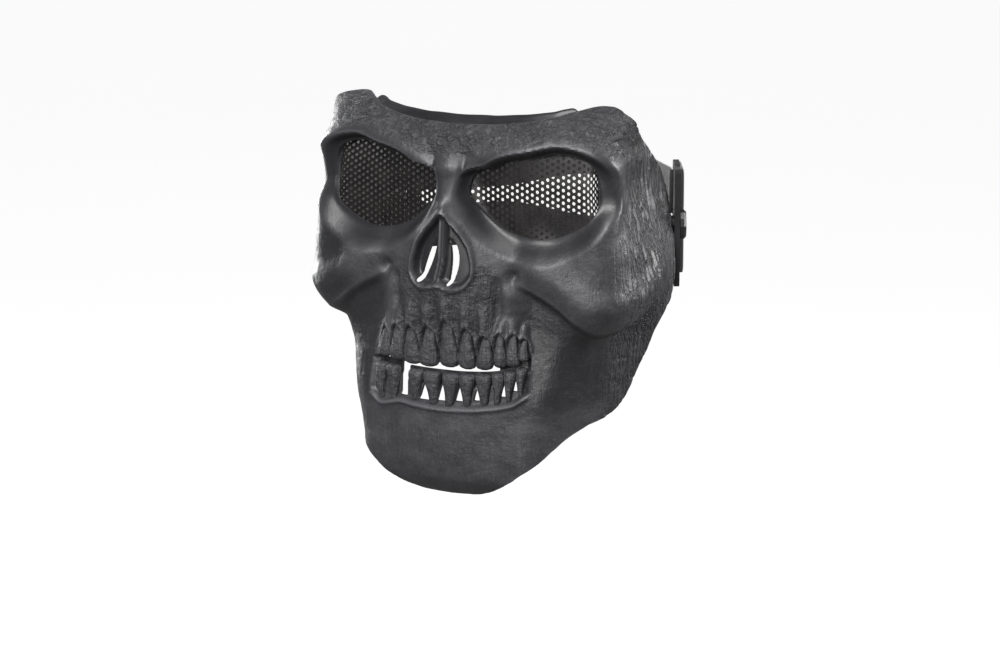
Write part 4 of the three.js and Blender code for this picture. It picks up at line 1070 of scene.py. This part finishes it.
def tooth_body(row, jaw, bed, stand):
    """One tooth: a rounded front that swells to the crown and narrows to the root, sunk into the bed."""
    middle, breadth = row[:2]
    tip, root = (row[2], row[3]) if jaw == "upper" else (row[3], row[2])
    breadth_curve, stand_curve = tooth_curves[jaw]
    around = np.linspace(-math.pi / 2, math.pi / 2, TOOTH_FRONT_POINTS)
    aside = np.sign(np.sin(around)) * np.abs(np.sin(around)) ** 0.9
    lift = np.clip(np.cos(around), 0, 1) ** 0.62
    last = (UPPER_FORM if jaw == "upper" else LOWER_FORM)[-1, 0]
    rings = []
    for along in last * np.linspace(0, 1, TOOTH_RINGS) ** 1.5:
        up = mix(tip, root, along)
        half = breadth / 2 * float(breadth_curve(along))
        lean = 0.05 * breadth * math.sin(3 * along + 40 * middle)
        places = middle + lean + half * np.concatenate([aside, [0.9, -0.9]])
        heights = np.concatenate([stand * float(stand_curve(along)) * lift, [-TOOTH_SUNK, -TOOTH_SUNK]])
        ups = np.full(len(places), up)
        floor = bare_form(np.full(len(places), middle), ups) - bed
        grain = TOOTH_GRAIN_DEPTH * noise(places * LATERAL, ups * MASK_HEIGHT, TOOTH_GRAIN) * (heights > 0)
        rings.append(face_point(places, ups, floor + heights + grain))
    return stacked_rings(rings)


# Shares of finish, and of painted shade, on the shell's inside and on the teeth and lugs
FINISH_ELSEWHERE = {"carved": (0.15, 0.3), "pitted": (0, 0.35), "polished_and_shaded": (0, 0), "worn": (0, 0.25)}


def outside_finish(across, up):
    """How carved, pitted, glossy and worn the shell's outside is at each place, and where painted shade
    darkens its colour: round the eyes, in the nose, in the hollows under the cheekbones and on the wearer's
    right cheek.
    """
    side = np.abs(across)
    smooth = smooth_places(across, up)
    chin = 0.12 * (1 - ramp(0.15, 0.22, up))
    muzzle_front = 0.45 * within(MUZZLE_FRONT_SPAN, up) * (1 - ramp(0.14, 0.2, side))
    sides = 0.05 + 0.85 * ramp(0.48, 0.64, side)
    # Painted shade, with a glossier surface: the hollow under each cheekbone and the wearer's right cheek are
    # darkened
    hollow = ramp(0, 0.04, cheek_edge(side) - up) * within(POLISHED_AND_SHADED_HOLLOW_SPAN, side) * ramp(0.2, 0.26, up)
    shaded_right_cheek = ramp(0.3, 0.4, -across) * within(POLISHED_AND_SHADED_CHEEK_SPAN, up)
    step = 0.006
    around = [outer_relief(across + dx, up + dz) for dx, dz in ((step, 0), (-step, 0), (0, step), (0, -step))]
    ridge = outer_relief(across, up) - sum(around) / 4
    return {
        "carved": smooth * np.maximum.reduce([sides, chin, 0.6 * muzzle_front]),
        "pitted": smooth * np.maximum.reduce([ramp(0.84, 0.9, up), chin, muzzle_front]).clip(min=0.1),
        # Painted shade and gloss: round the eyes, in the nose, in the cheek hollows and on the wearer's right
        # cheek
        "polished_and_shaded": np.maximum.reduce([1 - smooth, hollow, shaded_right_cheek]),
        "worn": np.clip(ridge / 0.35, 0, 1),
    }


def mask_shell():
    """The fine shell, closed, with its openings cut through, and the teeth moulded onto it."""
    half = stepped(ACROSS_STOPS)
    across_lines = np.concatenate([-half[:0:-1], half])
    points, faces = cut_grid(across_lines, stepped(UP_STOPS), shell_inside)

    def front(across, up):
        return face_point(across, up, outer_relief(across, up))

    def back(across, up):
        return face_point(across, up, inner_relief(across, up))

    vertices, solid, flat = closed_sheet(points, faces, front, back)
    bodies = [(vertices, solid)]
    bodies += [tooth_body(row, "upper", UPPER_BED, UPPER_STAND) for row in UPPER_TEETH]
    bodies += [tooth_body(row, "lower", LOWER_BED, LOWER_STAND) for row in LOWER_TEETH]
    bodies += [lug_body(sign) for sign in (1, -1)]
    all_vertices, all_faces = joined_bodies(bodies)
    shell = make_piece("mask_shell_fine", all_vertices, all_faces, BONE, crisp_from=55)
    moulded = len(all_vertices) - 2 * len(flat)
    for name, shares in outside_finish(flat[:, 0], flat[:, 1]).items():
        inside, added = FINISH_ELSEWHERE[name]
        add_values(shell, name, np.concatenate([shares, np.full(len(flat), inside), np.full(moulded, added)]))
    stand_in(shell, "mask_shell")


# Side pivots: the plate turns on the lug at the shell's rear edge
plate_turn = math.radians(PLATE_TURN)
pivot_run = np.array([-math.sin(plate_turn), math.cos(plate_turn), 0])
pivot_out = np.array([math.cos(plate_turn), math.sin(plate_turn), 0])


def smooth_relief(across, up):
    """The outer surface without its fine carving, as the solid shell has it."""
    outside, bevel = eye_outline.columns(np.abs(across), up, 2)
    return bare_form(across, up) - SOCKET_DEPTH * (1 - ramp(0, bevel * LATERAL, outside))


def rim_place(inner, outer, point):
    """The place between two others at which point(place) lies on the shell's edge."""
    for _ in range(30):
        middle = (inner + outer) / 2
        inside = rim_outline.outside(*point(middle)) < 0
        inner, outer = np.where(inside, middle, inner), np.where(inside, outer, middle)
    return inner


def pivot_point():
    height = np.array([PIVOT_UP])
    place = rim_place(np.array([0.6]), np.array([1.0]), lambda across: (across, height)) - LUG_FROM_EDGE
    root = face_point(place, height, smooth_relief(place, height))[0]
    return root + pivot_run * (LUG_LENGTH - LUG_HEIGHT / 2)


def at_pivot(along, height, out, sign=1):
    """Points beside the pivot: along the plate, upwards and outwards, in millimetres."""
    along, height, out = np.broadcast_arrays(along, height, out)
    point = (pivot_point() + along[..., None] * pivot_run + out[..., None] * pivot_out
             + height[..., None] * np.array([0, 0, 1.0]))
    return point * np.array([sign, 1, 1])


def lug_body(sign):
    """The shell's lug: a flat tongue with a round end, its edges eased by three steps."""
    half = LUG_HEIGHT / 2
    start = -(LUG_LENGTH - half) - 3
    angles = np.linspace(-math.pi / 2, math.pi / 2, 21)
    ease = 0.6
    rings = []
    for out, inset in ((0, ease), (-0.2, 0.2), (-ease, 0), (ease - LUG_THICKNESS, 0),
                       (0.2 - LUG_THICKNESS, 0.2), (-LUG_THICKNESS, ease)):
        radius = half - inset
        along = np.concatenate([[start], radius * np.cos(angles), [start]])
        height = np.concatenate([[-radius], radius * np.sin(angles), [radius]])
        rings.append(at_pivot(along, height, np.full(len(along), float(out)), sign))
    return stacked_rings(rings)


def screen_place(x, z):
    """The place across and up of a point in millimetres round the eye's centre."""
    return EYE_CENTRE[0] + x / LATERAL, EYE_CENTRE[1] + z / MASK_HEIGHT


def to_edge(x, z):
    """A point of the flat screen, drawn in if it lies past the edge, and its room up to the edge."""
    across, up = screen_place(x, z)
    room = SCREEN_FLANGE - eye_outline.outside(np.array([across]), np.array([up]))[0]
    distance = math.hypot(x, z)
    share = min(1, (distance + room) / distance) if distance > 1 else 1
    return x * share, z * share, room


def screen_cell(cx, cz):
    """Points and faces of one six-sided cell: pierced, or whole beside the screen's edge."""
    radius = HOLE_PITCH / math.sqrt(3)
    angles = [2 * math.pi * n / HOLE_SIDES for n in range(HOLE_SIDES)]
    drawn_x, drawn_z, room = to_edge(cx, cz)
    if room < -radius:
        return [], []
    cell = []
    for angle in angles:
        beyond = radius * math.cos(math.pi / 6) / math.cos((angle % (math.pi / 3)) - math.pi / 6)
        cell.append(to_edge(cx + beyond * math.cos(angle), cz + beyond * math.sin(angle)))
    if all(corner[2] <= 0 for corner in cell):
        return [], []
    points = [(x, z) for x, z, _ in cell]
    following = [(n, (n + 1) % HOLE_SIDES) for n in range(HOLE_SIDES)]
    hole = HOLE_DIAMETER / 2
    if room > hole + HOLE_FROM_EDGE:
        points += [(cx + hole * math.cos(angle), cz + hole * math.sin(angle)) for angle in angles]
        return points, [(n, m, HOLE_SIDES + m, HOLE_SIDES + n) for n, m in following]
    points.append((cx, cz) if room > 0 else (drawn_x, drawn_z))
    return points, [(n, m, HOLE_SIDES) for n, m in following]


def screen_sheet():
    """The flat screen: its cells in close-packed columns, with the points that they share joined."""
    column_step = HOLE_PITCH * math.sqrt(3) / 2
    columns, rows = round(SCREEN_REACH / column_step), round(SCREEN_REACH / HOLE_PITCH)
    flat, faces = [], []
    for column in range(-columns, columns + 1):
        for row in range(-rows, rows + 1):
            points, cell_faces = screen_cell(column * column_step, (row + 0.5 * (column % 2)) * HOLE_PITCH)
            faces += [[i + len(flat) for i in face] for face in cell_faces]
            flat += points
    flat = np.array(flat)
    keys = np.round(flat / 0.02).astype(int)
    _, first, same = np.unique(keys, axis=0, return_index=True, return_inverse=True)
    same = same.ravel()
    flat = flat[first]
    kept = []
    for face in faces:
        ring = [same[i] for n, i in enumerate(face) if same[i] != same[face[n - 1]]]
        if len(ring) < 3 or len(set(ring)) < len(ring):
            continue
        following = ring[1:] + ring[:1]
        area = sum(flat[a][0] * flat[b][1] - flat[b][0] * flat[a][1] for a, b in zip(ring, following))
        if area > 0.01:
            kept.append(tuple(ring))
    return flat, kept


def eye_screen(sign, name):
    """A thin curved sheet with round holes, which follows the seat behind the eye's opening."""
    def surface(behind):
        def points(x, z):
            across, up = screen_place(x, z)
            point = face_point(across, up, seat_relief(across, up) - CLEARANCE - behind)
            point[:, 0] *= sign
            return point
        return points

    vertices, solid, _ = closed_sheet(*screen_sheet(), surface(0.0), surface(SCREEN_SHEET))
    if sign < 0:
        solid = [ring[::-1] for ring in solid]
    stand_in(make_piece(name + "_pierced", vertices, solid, STEEL, crisp_from=40), name)


def forehead_strip():
    """A glossy moulding with a rounded front that follows the inside of the forehead's edge."""
    around = np.linspace(0, 2 * math.pi, STRIP_POINTS_AROUND, endpoint=False)
    depth_share = 0.5 - 0.5 * np.sign(np.cos(around)) * np.abs(np.cos(around)) ** 0.7
    height_share = 0.5 + 0.5 * np.sign(np.sin(around)) * np.abs(np.sin(around)) ** 0.45
    end_steps = STRIP_END_STEPS / LATERAL
    length = 2 * STRIP_REACH
    across = np.concatenate([[0.0], end_steps, np.linspace(0.03, length - 0.03, STRIP_RINGS),
                             length - end_steps[::-1], [length]]) - STRIP_REACH
    bounds = np.full_like(across, EYE_CENTRE[1]), np.full_like(across, SECTIONS[-1, 0])
    up = rim_place(*bounds, lambda height: (across, height))
    relief = bare_form(across, up) - level_wall(across, up)
    top = face_point(across, up, relief)
    run = np.gradient(top, across, axis=0)
    run[:, 2] = 0
    run /= np.linalg.norm(run, axis=1, keepdims=True)
    inwards = np.stack([-run[:, 1], run[:, 0], np.zeros(len(run))], axis=1)
    rings = []
    for n, place in enumerate(across):
        from_end = (STRIP_REACH - abs(place)) * LATERAL
        rounding = math.sqrt(max(0.0, 1 - (1 - min(1, from_end / STRIP_END_ROUNDING)) ** 2))
        shrink = 0.35 + 0.65 * rounding
        crest = mix(STRIP_STANDS_UP, STRIP_ENDS_STAND_UP, (place / STRIP_REACH) ** 2)
        middle = crest - STRIP_HEIGHT / 2
        height = middle + (height_share - 0.5) * STRIP_HEIGHT * shrink
        depth = 0.5 + (depth_share - 0.5) * (0.5 + 0.5 * shrink)
        inset = 2 * CLEARANCE + depth * STRIP_THICKNESS + height * STRIP_LEAN
        ring = top[n] + inset[:, None] * inwards[n]
        ring[:, 2] += height
        rings.append(ring)
    vertices, faces = stacked_rings(rings)
    strip = make_piece("forehead_strip_moulding", vertices, faces, TRIM, crisp_from=60)
    stand_in(strip, "forehead_strip")


def strap_route(slot_side, climb):
    """Middle line of a strap from the fold on the left plate to the fold on the right, in millimetres."""
    slot_height = STRAP_WIDTH + SLOT_PLAY
    slot_centre = (PLATE_MIDDLE + slot_height) / 2
    slot_right = PLATE_LENGTH - PIVOT_FROM_FRONT - BAR_WIDTH
    clear = CLEARANCE + STRAP_THICKNESS / 2
    plate_inner = CLEARANCE + BOSS_HEIGHT
    outer = plate_inner + PLATE_THICKNESS + clear + FOLD_SLACK
    inner = plate_inner - clear
    middle, radius = (outer + inner) / 2, (outer - inner) / 2
    straight_from = slot_right - SLOT_WIDTH / 2 + FOLD_SLACK
    past_bar = slot_right + 1.5 * BAR_WIDTH
    bulge = (SLOT_WIDTH - STRAP_THICKNESS) / 2 - CLEARANCE
    angles = np.linspace(0, math.pi, BEND_RINGS)
    along = np.concatenate([
        np.linspace(straight_from + STRAP_FOLD_LENGTH, straight_from, FOLD_RINGS, endpoint=False),
        straight_from - np.sin(angles) * bulge, [past_bar]])
    out = np.concatenate([np.full(FOLD_RINGS, outer), middle + radius * np.cos(angles), [inner]])
    side = at_pivot(along, np.full(len(along), slot_side * slot_centre), out)
    leaves = side[-1]
    half_width, half_length = HEAD_WIDTH / 2, HEAD_BACK - HEAD_MIDDLE
    px, py = leaves[0] / half_width, (leaves[1] - HEAD_MIDDLE) / half_length
    touches = math.atan2(py, px) + math.acos(1 / math.hypot(px, py))
    share = np.linspace(0, 1, BACK_RINGS)
    turn = mix(touches, math.pi / 2, share)
    back = np.stack([half_width * np.cos(turn), HEAD_MIDDLE + half_length * np.sin(turn),
                     leaves[2] + climb * ramp(0, 1, share)], axis=1)
    back[-1, 0] = 0
    gap = np.linspace(0, 1, SIDE_RINGS, endpoint=False)[1:, None]
    half = np.vstack([side, leaves + (back[0] - leaves) * gap, back])
    other = half[-2::-1] * np.array([-1, 1, 1])
    return np.vstack([half, other])


def strap(name, slot_side, climb):
    """Elastic webbing: a ribbon with thin soft selvedges, and its weave's directions as attributes."""
    route = strap_route(slot_side, climb)
    run = np.gradient(route, axis=0)
    run[:, 2] = 0
    run /= np.linalg.norm(run, axis=1, keepdims=True)
    out = np.stack([run[:, 1], -run[:, 0], np.zeros(len(run))], axis=1)
    travelled = np.concatenate([[0], np.cumsum(np.linalg.norm(np.diff(route, axis=0), axis=1))])
    over = np.linspace(-1, 1, 15)
    swell = 1 - 0.45 * np.abs(over) ** 8
    face = np.concatenate([over, over[::-1]])
    lift = np.concatenate([swell, -swell[::-1]]) * STRAP_THICKNESS / 2
    rings = [route[n] + out[n] * lift[:, None] + np.array([0, 0, STRAP_WIDTH / 2]) * face[:, None]
             for n in range(len(route))]
    vertices, faces = stacked_rings(rings)
    webbing = make_piece(name + "_webbing", vertices, faces, WEBBING, crisp_from=50)
    add_values(webbing, "along", np.repeat(travelled, len(face)))
    add_values(webbing, "over", np.tile(face * STRAP_WIDTH / 2, len(route)))
    stand_in(webbing, name)


mask_shell()
eye_screen(1, "eye_screen_left")
eye_screen(-1, "eye_screen_right")
forehead_strip()
strap("strap_upper", 1, UPPER_STRAP_RISE)
strap("strap_lower", -1, -LOWER_STRAP_DROP)


# CAD nodes that keep their shape get rounded edges and their finish
def dress(node, material, bevel):
    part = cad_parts[node]
    part.data.materials.clear()
    part.data.materials.append(material)
    rounded = part.modifiers.new("rounded", "BEVEL")
    rounded.width = bevel * METRE
    rounded.segments = 3
    rounded.limit_method = "ANGLE"
    rounded.angle_limit = math.radians(35)


for end in ("left", "right"):
    dress("strap_plate_" + end, PLASTIC, 0.5)
    dress("pivot_screw_" + end, PLASTIC, 0.3)


# Stage, lights and camera
def aim(thing, place, direction):
    thing.location = place
    thing.rotation_mode = "QUATERNION"
    thing.rotation_quaternion = direction.to_track_quat("-Z", "Y")


def soft_light(name, place, size, power):
    light = bpy.data.lights.new(name, "AREA")
    light.shape = "DISK"
    light.size = size
    light.energy = power
    aim(linked(name, light), place, Vector(LIT_POINT) - Vector(place))


def studio_world():
    """An even dim surround, which leaves the shading to the lights."""
    world = bpy.data.worlds.new("studio")
    world.use_nodes = True
    background = world.node_tree.nodes["Background"]
    background.inputs["Color"].default_value = (1, 1, 1, 1)
    background.inputs["Strength"].default_value = SURROUND_STRENGTH
    bpy.context.scene.world = world


def stage():
    """A pale floor, which shines evenly to the camera but not onto the mask, and the soft lights."""
    signs = ((-1, -1), (1, -1), (1, 1), (-1, 1))
    corners = [(x * FLOOR_REACH, y * FLOOR_REACH, FLOOR_LEVEL) for x, y in signs]
    mesh = bpy.data.meshes.new("floor")
    mesh.from_pydata(corners, [], [(0, 1, 2, 3)])
    mesh.materials.append(FLOOR)
    floor = linked("floor", mesh)
    floor.visible_diffuse = False
    floor.visible_glossy = False
    studio_world()
    for light in LIGHTS:
        soft_light(*light)


def camera():
    back = Vector((math.sin(CAMERA_AZIMUTH) * math.cos(CAMERA_ELEVATION),
                   -math.cos(CAMERA_AZIMUTH) * math.cos(CAMERA_ELEVATION),
                   math.sin(CAMERA_ELEVATION)))
    aside = Vector((math.cos(CAMERA_AZIMUTH), math.sin(CAMERA_AZIMUTH), 0))
    data = bpy.data.cameras.new("camera")
    data.sensor_width = SENSOR_WIDTH
    data.lens = CAMERA_LENS
    data.clip_end = 30
    eye = linked("camera", data)
    aim(eye, CAMERA_AIM + back * CAMERA_DISTANCE + aside * CAMERA_ASIDE, -back)
    bpy.context.scene.camera = eye


stage()
camera()
bpy.context.scene.view_settings.view_transform = "Standard"
